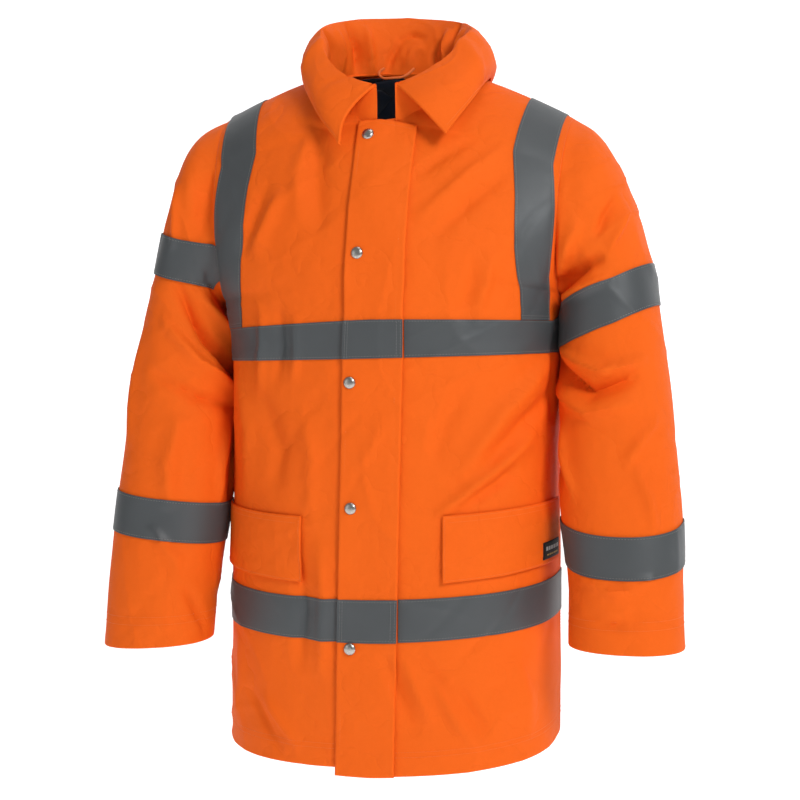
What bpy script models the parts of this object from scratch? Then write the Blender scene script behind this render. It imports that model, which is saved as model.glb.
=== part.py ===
"""Hi-vis work jacket: a hip-length padded coat, worn open at neck, hem and cuffs, as closed cloth walls.

Frame: metres, +Z up, the front faces -Y, the wearer's left is +X. The origin is the middle of the neck
opening, level with the high shoulder points. Every cloth piece is a wall raised on one shared form: a
front and a back whose rows run from the centre line to the side seam or the armhole, two sleeves lofted
through rings, and a collar that folds over along a ridge.
"""

import math
from functools import lru_cache

import bmesh
import bpy
import numpy as np
from mathutils import Matrix, Vector

# Body, from the hem up to the shoulder.
HEM_Z = -0.830
UNDERARM_Z = -0.270
SHOULDER_POINT = Vector((0.224, 0.030, -0.038))
UNDERARM_X = 0.2105
BODY_RISE = 0.028
SHOULDER_RISE = -0.022
BODY_SHIFT = 0.001
SECTION_POWER = 2.3
SHOULDER_POWER = 1.12
FRONT_DEPTH = 0.150
BACK_DEPTH = 0.150
FRONT_OVERLAP_X = 0.006
RIGHT_HEM_RISE = 0.011
LEFT_HEM_DROP = 0.007
FRONT_HEM_DROP = 0.008
SIDE_BOW = 0.015
SEAM_GAP = 0.0002
WELD = 0.0001

# Armhole: an upright oval between the underarm and the shoulder point.
ARMHOLE_FRONT = 0.098
ARMHOLE_BACK = 0.102
ARMHOLE_FRONT_DIP = 0.004
ARMHOLE_BACK_DIP = 0.004

# Neck seam: an oval in plan whose height changes from front to side to back.
NECK_HALF_WIDTH = 0.095
NECK_HALF_DEPTH = 0.0825
NECK_CENTRE_Y = -0.006
NECK_SIDE_Z = 0.010
NECK_BACK_RISE = 0.020
NECK_FRONT_DROP = 0.060
NECK_LEVEL = 0.625

# Walls and layers, measured out from the form.
CLOTH = 0.0025
TAPE = 0.0010
TAPE_LIFT = 0.0005
SLEEVE_TAPE_LIFT = 0.0015
CUT_BAND_LIFT = 0.0022
TAPE_WIDTH = 0.050
FLAP_LIFT = 0.0022
FLAP_CLOTH = 0.0030
LINING_DEPTH = 0.0095
LINING_CLOTH = 0.0012
RING_STEP = 0.0015
RIGHT_SLEEVE_SHIFT = 0.009

# Bands of tape, by the height of their middle.
CHEST_BAND_Z = -0.313
HEM_BAND_Z = -0.649
BRACE_COLUMNS = (0.64, 0.82)
BRACE_MIDDLE = {"chest": 0.722, "middle": 0.865, "shoulder": 0.745}

# Storm flap, by arc from the centre line: its free edge drifts out towards the hem.
FLAP_TOP_LEVEL = 0.615
FLAP_FREE_TOP = -0.026
FLAP_FREE_DRIFT = -0.0168
FLAP_WIDTH = 0.072
STUD_PLACES = ((-0.012, -0.071), (-0.0148, -0.213), (-0.0228, -0.366), (-0.022, -0.515), (-0.0232, -0.681))
STUD_RADIUS = 0.0075
STUD_HEIGHT = 0.0032

# Pocket flaps and label.
POCKET_ARC = (0.086, 0.266)
POCKET_Z = (-0.606, -0.526)
POCKET_OUTER_RISE = 0.004
POCKET_LIFT = 0.0016
POCKET_CLOTH = 0.0030
LABEL_SIZE = (0.040, 0.022)
LABEL_INSET = (0.006, 0.005)
LABEL_CLOTH = 0.0010

# Sleeve rings: the outer edge, the edge beside the body, the middle of the depth, and the half depth.
SLEEVE_RING_COLUMNS = ("outer_x", "outer_z", "inner_x", "inner_z", "middle_y", "half_depth")
SLEEVE_RINGS = (
    (0.224, -0.038, 0.2140, -0.270, 0.010, 0.100),
    (0.250, -0.054, 0.2165, -0.272, 0.011, 0.098),
    (0.272, -0.083, 0.2180, -0.276, 0.011, 0.095),
    (0.289, -0.117, 0.2190, -0.281, 0.008, 0.092),
    (0.301, -0.152, 0.2195, -0.288, 0.004, 0.089),
    (0.310, -0.188, 0.2200, -0.297, -0.001, 0.086),
    (0.320, -0.230, 0.2205, -0.312, -0.008, 0.083),
    (0.331, -0.285, 0.2210, -0.342, -0.016, 0.080),
    (0.342, -0.352, 0.2215, -0.392, -0.026, 0.076),
    (0.3515, -0.430, 0.2225, -0.457, -0.038, 0.072),
    (0.359, -0.510, 0.2245, -0.528, -0.051, 0.069),
    (0.364, -0.600, 0.2275, -0.605, -0.066, 0.066),
    (0.3665, -0.691, 0.2300, -0.686, -0.081, 0.062),
)
SLEEVE_POWER = 2.2
SLEEVE_BAND_COLUMNS = ("outer_z", "inner_z", "drop_power", "front_sag")
SLEEVE_BANDS = {
    "right_upper": (-0.206, -0.232, 1.0, 0.0),
    "right_lower": (-0.531, -0.547, 1.0, 0.0),
    "left_upper": (-0.250, -0.304, 1.2, 0.0),
    "left_lower": (-0.556, -0.556, 1.0, 0.014),
}

BAND_FIRST_POSITION = 0.12
CUT_BAND = "right_upper"
CUT_BAND_STEPS = 6

# Collar: the ridge where it folds over, and the edge of the fall.
RIDGE_HALF_WIDTH = 0.095
RIDGE_TILT = -0.028
RIDGE_SHIFT = -0.004
RIDGE_BACK_Y = 0.112
RIDGE_FRONT_Y = -0.094
RIDGE_SIDE_Z = 0.074
RIDGE_BACK_RISE = 0.033
RIDGE_FRONT_DROP = 0.083
STAND_ENDS = {"left": 0.018, "right": -0.004}
FALL_SIDE = Vector((0.1175, 0.004, 0.011))
FALL_BACK = Vector((0.0, 0.136, -0.006))
FALL_CORNER_RISE = 0.008
FALL_TIPS = {"left": Vector((0.086, -0.120, -0.072)), "right": Vector((-0.042, -0.126, -0.086))}
FALL_BULGE = {"back": 0.024, "side": 0.014, "front": 0.007}
STAND_BULGE = 0.006
FALL_CLOTH = 0.0030
TIP_SPREAD = {"left": 0.0, "right": -0.012}
LOOP_POINTS = (
    (-0.027, 0.059, 0.0340),
    (-0.033, 0.054, 0.0270),
    (-0.028, 0.050, 0.0205),
    (-0.014, 0.048, 0.0190),
    (0.002, 0.050, 0.0215),
    (0.013, 0.057, 0.0320),
)
LOOP_RADIUS = 0.0016

# Grids: the columns across a half body, the levels up it, and the counts round sleeves and collar.
COLUMNS = (0.0, 0.11, 0.22, 0.33, 0.44, 0.54, 0.64, 0.73, 0.82, 0.91, 1.0)
BODY_HEIGHTS = (-0.830, -0.752, -0.674, -0.624, -0.552, -0.480, -0.409, -0.338, -0.288)
ARMHOLE_STEPS = 8
COLLAR_STEPS = 28
STUD_SEGMENTS = 16

ORANGE = (0.93, 0.135, 0.016)
TAPE_GREY = (0.105, 0.115, 0.122)
LINING_NAVY = (0.003, 0.006, 0.012)
LABEL_BLACK = (0.006, 0.006, 0.006)
STUD_METAL = (0.42, 0.40, 0.38)


def smooth(value, low, high):
    """A soft step from 0 at low to 1 at high."""
    share = min(max((value - low) / (high - low), 0.0), 1.0)
    return share * share * (3.0 - 2.0 * share)


def level_of(height):
    """The level of a row below the underarm: -1 at the hem, 0 at the underarm."""
    return (height - UNDERARM_Z) / (UNDERARM_Z - HEM_Z)


def settle(point):
    """Moves a point as the coat hangs: its left side rides higher below the chest, lower at the top."""
    share = smooth(-point.z, 0.04, 0.30)
    rise = SHOULDER_RISE + (BODY_RISE - SHOULDER_RISE) * share
    return Vector((point.x + BODY_SHIFT, point.y, point.z + rise * point.x))


def neck_point(turn):
    """A point of the neck seam; turn is 0 at the back and pi at the front, on the +X side."""
    back = max(math.cos(turn), 0.0)
    front = max(-math.cos(turn), 0.0)
    return Vector((
        NECK_HALF_WIDTH * math.sin(turn),
        NECK_CENTRE_Y + NECK_HALF_DEPTH * math.cos(turn),
        NECK_SIDE_Z + NECK_BACK_RISE * back - NECK_FRONT_DROP * front**1.6,
    ))


def armhole_point(face, level):
    """A point of the armhole from the underarm (level 0) to the shoulder point (level 1)."""
    angle = math.pi * level
    climb = (1.0 - math.cos(angle)) / 2.0
    reach, dip = (-ARMHOLE_FRONT, ARMHOLE_FRONT_DIP) if face == "front" else (ARMHOLE_BACK, ARMHOLE_BACK_DIP)
    across = math.sin(angle)
    return Vector((
        UNDERARM_X + (SHOULDER_POINT.x - UNDERARM_X) * climb - dip * across,
        SHOULDER_POINT.y * climb + reach * across,
        UNDERARM_Z + (SHOULDER_POINT.z - UNDERARM_Z) * climb,
    ))


def half_width(height):
    """Half the body's width: a little waist, and a hem that flares."""
    waist = 0.0035 * math.exp(-(((height + 0.47) / 0.12) ** 2))
    return UNDERARM_X - waist


def centre_point(face, level):
    """The start of a row: on the centre line, and above the neck level along the neck seam."""
    if level > NECK_LEVEL:
        share = (level - NECK_LEVEL) / (1.0 - NECK_LEVEL)
        return neck_point(math.pi * (1.0 - share / 2.0) if face == "front" else math.pi * share / 2.0)
    if level <= 0.0:
        height = UNDERARM_Z + level * (UNDERARM_Z - HEM_Z)
        return Vector((0.0, -FRONT_DEPTH if face == "front" else BACK_DEPTH, height))
    end = neck_point(math.pi if face == "front" else 0.0)
    share = level / NECK_LEVEL
    height = UNDERARM_Z + (end.z - UNDERARM_Z) * share
    depth = -FRONT_DEPTH if face == "front" else BACK_DEPTH
    pull = share**2.2 if face == "front" else share**3.0
    return Vector((0.0, depth + (end.y - depth) * pull, height))


@lru_cache(maxsize=None)
def row(face, level):
    """A row of the half body as (distance along it, points), from the centre line to the side."""
    start = centre_point(face, level)
    if level <= 0.0:
        end = Vector((half_width(start.z), 0.0, start.z))
    else:
        end = armhole_point(face, level)
    power = SECTION_POWER + (SHOULDER_POWER - SECTION_POWER) * smooth(level, 0.15, 1.0)
    angles = np.linspace(0.0, math.pi / 2.0, 65)
    over = np.sin(angles) ** (2.0 / power)
    down = np.clip(np.cos(angles), 0.0, 1.0) ** (2.0 / power)
    points = np.stack(
        [
            start.x + (end.x - start.x) * over,
            end.y + (start.y - end.y) * down,
            start.z + (end.z - start.z) * over**1.3,
        ],
        axis=1,
    )
    steps = np.linalg.norm(np.diff(points, axis=0), axis=1)
    return np.concatenate([[0.0], np.cumsum(steps)]), points


def brace_middle(level):
    """How far along a row the brace's middle lies, as a share of the row."""
    knots = (0.0, 0.5, 1.0)
    return float(np.interp(level, knots, tuple(BRACE_MIDDLE.values())))


def share_of(face, column, level):
    """The share of the row's length at a column, so that the braces keep to whole columns."""
    distance, points = row(face, level)
    length = distance[-1]
    middle = brace_middle(level)
    first = max(FRONT_OVERLAP_X - points[0][0], 0.0) / length if face == "front" else 0.0
    half = TAPE_WIDTH / 2.0 / length
    knots = (0.0, BRACE_COLUMNS[0], BRACE_COLUMNS[1], 1.0)
    shares = (first, middle - half, min(middle + half, 0.985), 1.0)
    return float(np.interp(column, knots, shares))


def place(face, side, share, level):
    """The point of the form at a share of a row, on the side of sign side."""
    distance, points = row(face, level)
    along = share * distance[-1]
    x, y, z = (float(np.interp(along, distance, points[:, axis])) for axis in range(3))
    y += SEAM_GAP * (1.0 if face == "back" else -1.0)
    z += SIDE_BOW * smooth(-z, 0.42, 0.62) * share**2
    z -= FRONT_HEM_DROP * (1.0 - share) ** 2 * smooth(-level, 0.6, 1.0)
    if face == "front" and side < 0:
        z += RIGHT_HEM_RISE * (1.0 - share) ** 2 * smooth(-level, 0.75, 1.0)
    elif face == "front":
        z -= LEFT_HEM_DROP * (1.0 - share**3) * share * smooth(-level, 0.7, 1.0)
    return settle(Vector((side * x, y, z)))


def form(face, side, share, level):
    """(point, outward normal) of the form; the normals of front and back agree along their seams."""
    step = 0.004
    left = place(face, side, max(share - step, 0.0), level)
    right = place(face, side, min(share + step, 1.0), level)
    below = place(face, side, share, max(level - step, -1.0))
    above = place(face, side, share, min(level + step, 1.0))
    normal = (right - left).cross(above - below).normalized()
    point = place(face, side, share, level)
    if normal.dot(Vector((point.x, point.y, 0.05))) < 0.0:
        normal.negate()
    near_neck = smooth(level, NECK_LEVEL - 0.06, NECK_LEVEL) * (1.0 - smooth(share, 0.0, 0.35))
    neck_normal = Vector((2.6 * point.x, 7.0 * (point.y - NECK_CENTRE_Y), 0.8)).normalized()
    normal = normal.lerp(neck_normal, near_neck).normalized()
    shoulder = Vector((0.28 * side, 0.0, 1.0)).normalized()
    flank = Vector((side, 0.0, 0.0))
    normal = normal.lerp(shoulder, smooth(level, 0.86, 1.0))
    if level <= 0.0:
        normal = normal.lerp(flank, smooth(share, 0.93, 1.0))
    return point, normal.normalized()


def half_body(face, side):
    """The surface of half a front or back over (column, level)."""
    return lambda column, level: form(face, side, share_of(face, column, level), level)


def whole_back(column, level):
    """The surface of the back over a column from -1 to 1; the sign gives the side at the centre too."""
    side = math.copysign(1.0, column)
    point, normal = form("back", side, share_of("back", abs(column), level), level)
    if column == 0.0 and level <= NECK_LEVEL:
        normal.x = 0.0
        normal.normalize()
    return point, normal


def front_at(arc, level):
    """The surface of the closed fronts at a signed arc from the centre line."""
    side = -1.0 if arc < 0.0 else 1.0
    return form("front", side, abs(arc) / row("front", level)[0][-1], level)


def flap_edge(height):
    """The arc of the storm flap's free edge at a height."""
    return FLAP_FREE_TOP + FLAP_FREE_DRIFT * (-0.046 - height) / 0.784


def front_level(height):
    """The level of the front's centre line at a height, above or below the underarm."""
    if height <= UNDERARM_Z:
        return level_of(height)
    return (height - UNDERARM_Z) / (neck_point(math.pi).z - UNDERARM_Z) * NECK_LEVEL


def storm_flap(across, level):
    """The surface of the storm flap over (share across it, level)."""
    free = flap_edge(centre_point("front", level).z)
    return front_at(free + FLAP_WIDTH * across, level)


def column_at(face, arc, level):
    """The column at an arc from the centre line, the inverse of share_of."""
    length = row(face, level)[0][-1]
    columns = np.linspace(0.0, 1.0, 201)
    arcs = [share_of(face, column, level) * length for column in columns]
    return float(np.interp(arc, arcs, columns))


def pocket_flap(side):
    """The surface of a pocket flap over (share along, share up)."""
    def surface(along, up):
        arc = POCKET_ARC[0] + (POCKET_ARC[1] - POCKET_ARC[0]) * along
        height = POCKET_Z[0] + (POCKET_Z[1] - POCKET_Z[0]) * up + POCKET_OUTER_RISE * along
        return front_at(side * arc, level_of(height))
    return surface


def label_patch(along, up):
    """The surface of the label at the lower outer corner of the left pocket flap."""
    arc = POCKET_ARC[1] - LABEL_INSET[0] - LABEL_SIZE[0] * (1.0 - along)
    height = POCKET_Z[0] + POCKET_OUTER_RISE + LABEL_INSET[1] + LABEL_SIZE[1] * up
    return front_at(arc, level_of(height))


def ring_row(position):
    """The sleeve's ring measures at a position between rings, on a smooth curve through the table."""
    table = np.array(SLEEVE_RINGS)
    last = len(table) - 1
    index = min(int(position), last - 1)
    share = position - index
    before, here, there, after = (table[min(max(index + k, 0), last)] for k in (-1, 0, 1, 2))
    curve = (
        2.0 * here
        + (there - before) * share
        + (2.0 * before - 5.0 * here + 4.0 * there - after) * share**2
        + (3.0 * here - before - 3.0 * there + after) * share**3
    )
    return dict(zip(SLEEVE_RING_COLUMNS, curve / 2.0))


def ring_point(position, turn):
    """A point of the +X sleeve: turn is 0 at the shoulder side, pi at the underarm, front first."""
    measures = ring_row(position)
    outer = Vector((measures["outer_x"], measures["middle_y"], measures["outer_z"]))
    inner = Vector((measures["inner_x"], measures["middle_y"], measures["inner_z"]))
    along = math.copysign(abs(math.cos(turn)) ** (2.0 / SLEEVE_POWER), math.cos(turn))
    depth = math.copysign(abs(math.sin(turn)) ** (2.0 / SLEEVE_POWER), math.sin(turn))
    point = (outer + inner) / 2.0 + (outer - inner) / 2.0 * along
    return point + Vector((0.0, -measures["half_depth"] * depth, 0.0))


def armhole_ring(turn):
    """The armhole as a ring of the +X sleeve."""
    if turn <= math.pi:
        return armhole_point("front", 1.0 - turn / math.pi)
    return armhole_point("back", turn / math.pi - 1.0)


def sleeve_place(side, turn, position):
    """A point of a sleeve, which leaves the armhole's own line and joins the rings."""
    point = ring_point(position, turn)
    hold = (1.0 - smooth(position, 0.0, 2.2)) ** 1.5
    if hold > 0.0:
        point = point + (armhole_ring(turn) - ring_point(0.0, turn)) * hold
    point.x += RING_STEP
    if side < 0:
        outer = smooth(position, 1.0, 4.0) * max(math.cos(turn), 0.0)
        point.x -= RIGHT_SLEEVE_SHIFT * max(smooth(position, 4.0, 8.0), outer)
    point.x *= side
    return settle(point)


def sleeve(side):
    """The surface of a sleeve over (turn, position along the rings)."""
    def surface(turn, position):
        step = 0.02
        last = len(SLEEVE_RINGS) - 1.0
        ahead = sleeve_place(side, (turn + step) % math.tau, position)
        behind = sleeve_place(side, (turn - step) % math.tau, position)
        below = sleeve_place(side, turn, min(position + step, last))
        above = sleeve_place(side, turn, max(position - step, 0.0))
        normal = (ahead - behind).cross(below - above).normalized()
        point = sleeve_place(side, turn, position)
        middle = (sleeve_place(side, 0.0, position) + sleeve_place(side, math.pi, position)) / 2.0
        if normal.dot(point - middle) < 0.0:
            normal.negate()
        normal.x *= smooth(position, 0.0, 1.0)
        return point, normal.normalized()
    return surface


def sleeve_band(side, name):
    """The surface of a sleeve tape over (turn, share up): level round the sleeve in its own plane."""
    base = sleeve(side)
    band = dict(zip(SLEEVE_BAND_COLUMNS, SLEEVE_BANDS[name]))

    def surface(turn, up):
        inwards = ((1.0 - math.cos(turn)) / 2.0) ** band["drop_power"]
        target = band["outer_z"] + (band["inner_z"] - band["outer_z"]) * inwards
        target += (up - 0.5) * TAPE_WIDTH - band["front_sag"] * max(math.sin(turn), 0.0)
        turn %= math.tau
        low, high = BAND_FIRST_POSITION, len(SLEEVE_RINGS) - 1.0
        for _ in range(30):
            middle = (low + high) / 2.0
            if sleeve_place(side, turn, middle).z > target:
                low = middle
            else:
                high = middle
        return base(turn, low)
    return surface


def ridge_point(turn):
    """A point of the ridge where the collar folds over; turn runs from -pi to pi, 0 at the back."""
    back = max(math.cos(turn), 0.0)
    front = max(-math.cos(turn), 0.0)
    x = RIDGE_HALF_WIDTH * math.sin(turn)
    return Vector((
        x + RIDGE_SHIFT * back,
        RIDGE_BACK_Y * back + RIDGE_FRONT_Y * front,
        RIDGE_SIDE_Z + RIDGE_BACK_RISE * back - RIDGE_FRONT_DROP * front**1.3 + RIDGE_TILT * x * (1.0 - front),
    ))


def collar_turn(share):
    """The turn at a share round the collar, from the right front end round the back to the left."""
    right = -(math.pi - math.asin(-STAND_ENDS["right"] / RIDGE_HALF_WIDTH))
    left = math.pi - math.asin(STAND_ENDS["left"] / RIDGE_HALF_WIDTH)
    return right + (left - right) * share


def fall_edge(turn):
    """A point of the fall's lower edge: round the back, over the shoulder, and out to the point."""
    side = -1.0 if turn < 0.0 else 1.0
    if abs(turn) <= math.pi / 2.0:
        return Vector((
            side * FALL_SIDE.x * abs(math.sin(turn)),
            FALL_SIDE.y + (FALL_BACK.y - FALL_SIDE.y) * math.cos(turn),
            FALL_SIDE.z
            + (FALL_BACK.z - FALL_SIDE.z) * math.cos(turn) ** 2
            + FALL_CORNER_RISE * math.sin(2.0 * turn) ** 2,
        ))
    name = "left" if side > 0 else "right"
    end = abs(collar_turn(1.0 if side > 0 else 0.0))
    share = (abs(turn) - math.pi / 2.0) / (end - math.pi / 2.0)
    start = Vector((side * FALL_SIDE.x, FALL_SIDE.y, FALL_SIDE.z))
    point = start.lerp(FALL_TIPS[name], share)
    bow = math.sin(math.pi * share)
    return point + Vector((side * 0.012 * bow, -0.014 * bow, 0.010 * bow))


def collar_fall(share, down):
    """The surface of the fall over (share round, share down from the ridge)."""
    def spot(share, down):
        turn = collar_turn(share)
        side = -1.0 if turn < 0.0 else 1.0
        name = "left" if side > 0 else "right"
        back = max(math.cos(turn), 0.0)
        front = max(-math.cos(turn), 0.0)
        point = ridge_point(turn).lerp(fall_edge(turn), down)
        bulge = FALL_BULGE["side"] + (FALL_BULGE["back"] - FALL_BULGE["side"]) * back
        bulge += (FALL_BULGE["front"] - bulge) * front
        swell = math.sin(math.pi * down) ** 0.75 if 0.0 < down < 1.0 else 0.0
        outward = Vector((math.sin(turn), math.cos(turn), 0.15)).normalized()
        point = point + outward * bulge * swell
        point.x += TIP_SPREAD[name] * front**4 * math.sin(math.pi * down)
        return settle(point)
    return surface_of(spot, share, down, Vector((0.0, 0.0, 0.03)))


def collar_stand(share, up):
    """The surface of the collar's inner side over (share round, share up from the neck seam)."""
    def spot(share, up):
        turn = collar_turn(share)
        base = neck_point(abs(turn))
        if turn < 0.0:
            base.x = -base.x
        base.z += 0.0024
        top = ridge_point(turn) - Vector((0.0, 0.0, 0.0045))
        inward = Vector((-math.sin(turn), -math.cos(turn), 0.0))
        return settle(base.lerp(top, up) + inward * (0.0016 + STAND_BULGE * math.sin(math.pi * up)))
    return surface_of(spot, share, up, Vector((0.0, 0.0, 0.03)))


def surface_of(spot, first, second, middle):
    """(point, normal away from middle) of a surface given as a function of two shares."""
    step = 0.01
    across = spot(min(first + step, 1.0), second) - spot(max(first - step, 0.0), second)
    along = spot(first, min(second + step, 1.0)) - spot(first, max(second - step, 0.0))
    normal = across.cross(along).normalized()
    point = spot(first, second)
    away = point - middle
    away.z *= 0.4
    if normal.dot(away) < 0.0:
        normal.negate()
    return point, normal


def finish_mesh(shape, name, colour, roughness=0.7, metallic=0.0):
    """Turns a bmesh into a named object with its own material."""
    mesh = bpy.data.meshes.new(name)
    bmesh.ops.recalc_face_normals(shape, faces=shape.faces[:])
    shape.to_mesh(mesh)
    shape.free()
    mesh.shade_smooth()
    mesh.set_sharp_from_angle(angle=math.radians(50.0))
    material = bpy.data.materials.new(name)
    material.use_nodes = True
    shader = material.node_tree.nodes["Principled BSDF"]
    shader.inputs["Base Color"].default_value = (*colour, 1.0)
    shader.inputs["Roughness"].default_value = roughness
    shader.inputs["Metallic"].default_value = metallic
    mesh.materials.append(material)
    piece = bpy.data.objects.new(name, mesh)
    bpy.context.scene.collection.objects.link(piece)
    return piece


def split_cells(shape, base):
    """Cuts each four-sided cell along its shorter diagonal on the form, so that layers cut alike."""
    for face in shape.faces[:]:
        first, second, third, fourth = face.verts
        if (first[base] - third[base]).length <= (second[base] - fourth[base]).length:
            bmesh.utils.face_split(face, first, third)
        else:
            bmesh.utils.face_split(face, second, fourth)


def across_back(columns):
    """The columns of a half body on both sides, with the centre line twice, once for each side."""
    return [-column for column in reversed(columns)] + list(columns)


def cloth_wall(name, surface, firsts, seconds, lift, thickness, colour, ring=False):
    """A closed wall of cloth: a grid on the surface at lift, extruded outwards by its thickness.

    A ring's ends are joined. Where the first values hold the centre line twice, the sliver between the
    two is left out and its sides are joined as far up as they meet, below the neck.
    """
    shape = bmesh.new()
    bmesh.ops.create_grid(shape, x_segments=len(firsts) - 1, y_segments=len(seconds) - 1, size=0.5)
    far = shape.verts.layers.float_vector.new("far")
    base = shape.verts.layers.float_vector.new("base")
    place_along = shape.verts.layers.int.new("place_along")
    for vert in shape.verts:
        vert[place_along] = round((vert.co.x + 0.5) * (len(firsts) - 1))
        first = firsts[vert[place_along]]
        second = seconds[round((vert.co.y + 0.5) * (len(seconds) - 1))]
        point, normal = surface(first, second)
        vert.co = point + normal * lift
        vert[far] = point + normal * (lift + thickness)
        vert[base] = point
    middle = list(firsts).index(0.0) if list(firsts).count(0.0) == 2 else None
    if middle is not None:
        sliver = [face for face in shape.faces if {vert[place_along] for vert in face.verts} == {middle, middle + 1}]
        bmesh.ops.delete(shape, geom=sliver, context="FACES_ONLY")
    split_cells(shape, base)
    if ring or middle is not None:
        bmesh.ops.remove_doubles(shape, verts=shape.verts[:], dist=WELD)
    made = bmesh.ops.extrude_face_region(shape, geom=shape.faces[:], use_keep_orig=True)
    for item in made["geom"]:
        if isinstance(item, bmesh.types.BMVert):
            item.co = item[far]
    bmesh.ops.triangulate(shape, faces=shape.faces[:], quad_method="FIXED")
    return finish_mesh(shape, name, colour)


def levels_between(low, high):
    """The form's own levels from low to high, both ends included."""
    every = [level_of(height) for height in BODY_HEIGHTS]
    every += [step / ARMHOLE_STEPS for step in range(ARMHOLE_STEPS + 1)]
    inside = [level for level in every if low + 0.004 < level < high - 0.004]
    return [low, *inside, high]


def even(count, low=0.0, high=1.0):
    """Count equal steps from low to high, both ends included."""
    return [low + (high - low) * step / count for step in range(count + 1)]


def build_body():
    """The two fronts, the back and the lining."""
    levels = levels_between(-1.0, 1.0)
    lining_levels = [-0.95, -0.74, -0.5, -0.25, 0.0, 0.18, 0.36, 0.5, NECK_LEVEL, 0.8, 0.94]
    lining_columns = (0.0, 0.16, 0.32, 0.48, 0.64, 0.80, 0.89, 0.96)
    back_levels = [-0.95, -0.74, -0.5, -0.25, 0.0, 0.2, 0.4, 0.6, NECK_LEVEL, 0.94]
    for side, name in ((-1.0, "right"), (1.0, "left")):
        surface = half_body("front", side)
        cloth_wall(f"{name}_front", surface, COLUMNS, levels, -CLOTH, CLOTH, ORANGE)
        depth = -LINING_DEPTH
        cloth_wall(
            f"lining_{name}", surface, lining_columns, lining_levels, depth, LINING_CLOTH, LINING_NAVY
        )
    cloth_wall("back", whole_back, across_back(COLUMNS), levels, -CLOTH, CLOTH, ORANGE)
    both = across_back(lining_columns)
    cloth_wall("lining_back", whole_back, both, back_levels, -LINING_DEPTH, LINING_CLOTH, LINING_NAVY)


def build_sleeves():
    """The sleeves and their tapes."""
    turns = even(2 * ARMHOLE_STEPS, 0.0, math.tau)
    for side, name in ((-1.0, "right"), (1.0, "left")):
        positions = even(len(SLEEVE_RINGS) - 1, 0.0, len(SLEEVE_RINGS) - 1.0)
        cloth_wall(f"{name}_sleeve", sleeve(side), turns, positions, -CLOTH, CLOTH, ORANGE, ring=True)
        for part in ("upper", "lower"):
            band = f"{name}_{part}"
            reach = math.tau * CUT_BAND_STEPS / (2 * ARMHOLE_STEPS)
            cut = band == CUT_BAND
            round_sleeve = even(2 * CUT_BAND_STEPS, -reach, reach) if cut else turns
            heights = even(4) if cut else even(1)
            lift = CUT_BAND_LIFT if cut else SLEEVE_TAPE_LIFT
            cloth_wall(
                f"sleeve_tape_{band}", sleeve_band(side, band), round_sleeve, heights,
                lift, TAPE, TAPE_GREY, ring=not cut,
            )


def build_flap():
    """The storm flap and its press studs."""
    levels = levels_between(-1.0, FLAP_TOP_LEVEL)
    cloth_wall("storm_flap", storm_flap, (0.0, 0.5, 1.0), levels, FLAP_LIFT, FLAP_CLOTH, ORANGE)
    for number, (arc, height) in enumerate(STUD_PLACES, 1):
        point, normal = front_at(arc, front_level(height))
        shape = bmesh.new()
        bmesh.ops.create_cone(
            shape, cap_ends=True, segments=STUD_SEGMENTS,
            radius1=STUD_RADIUS, radius2=STUD_RADIUS * 0.72, depth=STUD_HEIGHT,
        )
        on_tape = TAPE_LIFT + TAPE if abs(height - HEM_BAND_Z) < TAPE_WIDTH else 0.0
        rise = FLAP_LIFT + FLAP_CLOTH + 0.0004 + on_tape + STUD_HEIGHT / 2.0
        turn = normal.to_track_quat("Z", "Y").to_matrix().to_4x4()
        bmesh.ops.transform(shape, matrix=Matrix.Translation(point + normal * rise) @ turn, verts=shape.verts[:])
        finish_mesh(shape, f"stud_{number}", STUD_METAL, 0.35, 1.0)


def build_body_tapes():
    """The chest and lower bands, which run under the storm flap and across it."""
    flap_lift = FLAP_LIFT + FLAP_CLOTH + TAPE_LIFT
    for band, middle in (("chest", CHEST_BAND_Z), ("hem", HEM_BAND_Z)):
        levels = (level_of(middle - TAPE_WIDTH / 2.0), level_of(middle + TAPE_WIDTH / 2.0))
        seam = column_at("front", flap_edge(middle) + FLAP_WIDTH + 0.001, levels[0])
        left_columns = [seam, *(column for column in COLUMNS if column > seam + 0.02)]
        for name, surface, columns, lift in (
            ("right", half_body("front", -1.0), COLUMNS, TAPE_LIFT),
            ("left", half_body("front", 1.0), left_columns, TAPE_LIFT),
            ("back", whole_back, across_back(COLUMNS), TAPE_LIFT),
            ("flap", storm_flap, (0.0, 0.5, 1.0), flap_lift),
        ):
            cloth_wall(f"{band}_tape_{name}", surface, columns, levels, lift, TAPE, TAPE_GREY)


def build_braces():
    """The braces, each one strip from the chest band over the shoulder to the back's band."""
    lowest = level_of(CHEST_BAND_Z + TAPE_WIDTH / 2.0 + 0.0008)
    levels = levels_between(lowest, 1.0)
    path = [("front", level) for level in levels] + [("back", level) for level in levels[-2::-1]]
    columns = (BRACE_COLUMNS[0], sum(BRACE_COLUMNS) / 2.0, BRACE_COLUMNS[1])
    for side, name in ((-1.0, "right"), (1.0, "left")):
        def surface(column, step, side=side):
            face, level = step
            return half_body(face, side)(column, level)
        cloth_wall(f"brace_{name}", surface, columns, path, TAPE_LIFT, TAPE, TAPE_GREY)


def build_pockets():
    """The pocket flaps, and the label on the left one."""
    for side, name in ((-1.0, "right"), (1.0, "left")):
        cloth_wall(
            f"pocket_flap_{name}", pocket_flap(side), even(8), even(2), POCKET_LIFT, POCKET_CLOTH, ORANGE
        )
    lift = POCKET_LIFT + POCKET_CLOTH + TAPE_LIFT
    cloth_wall("flap_label", label_patch, even(2), even(1), lift, LABEL_CLOTH, LABEL_BLACK)


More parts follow.
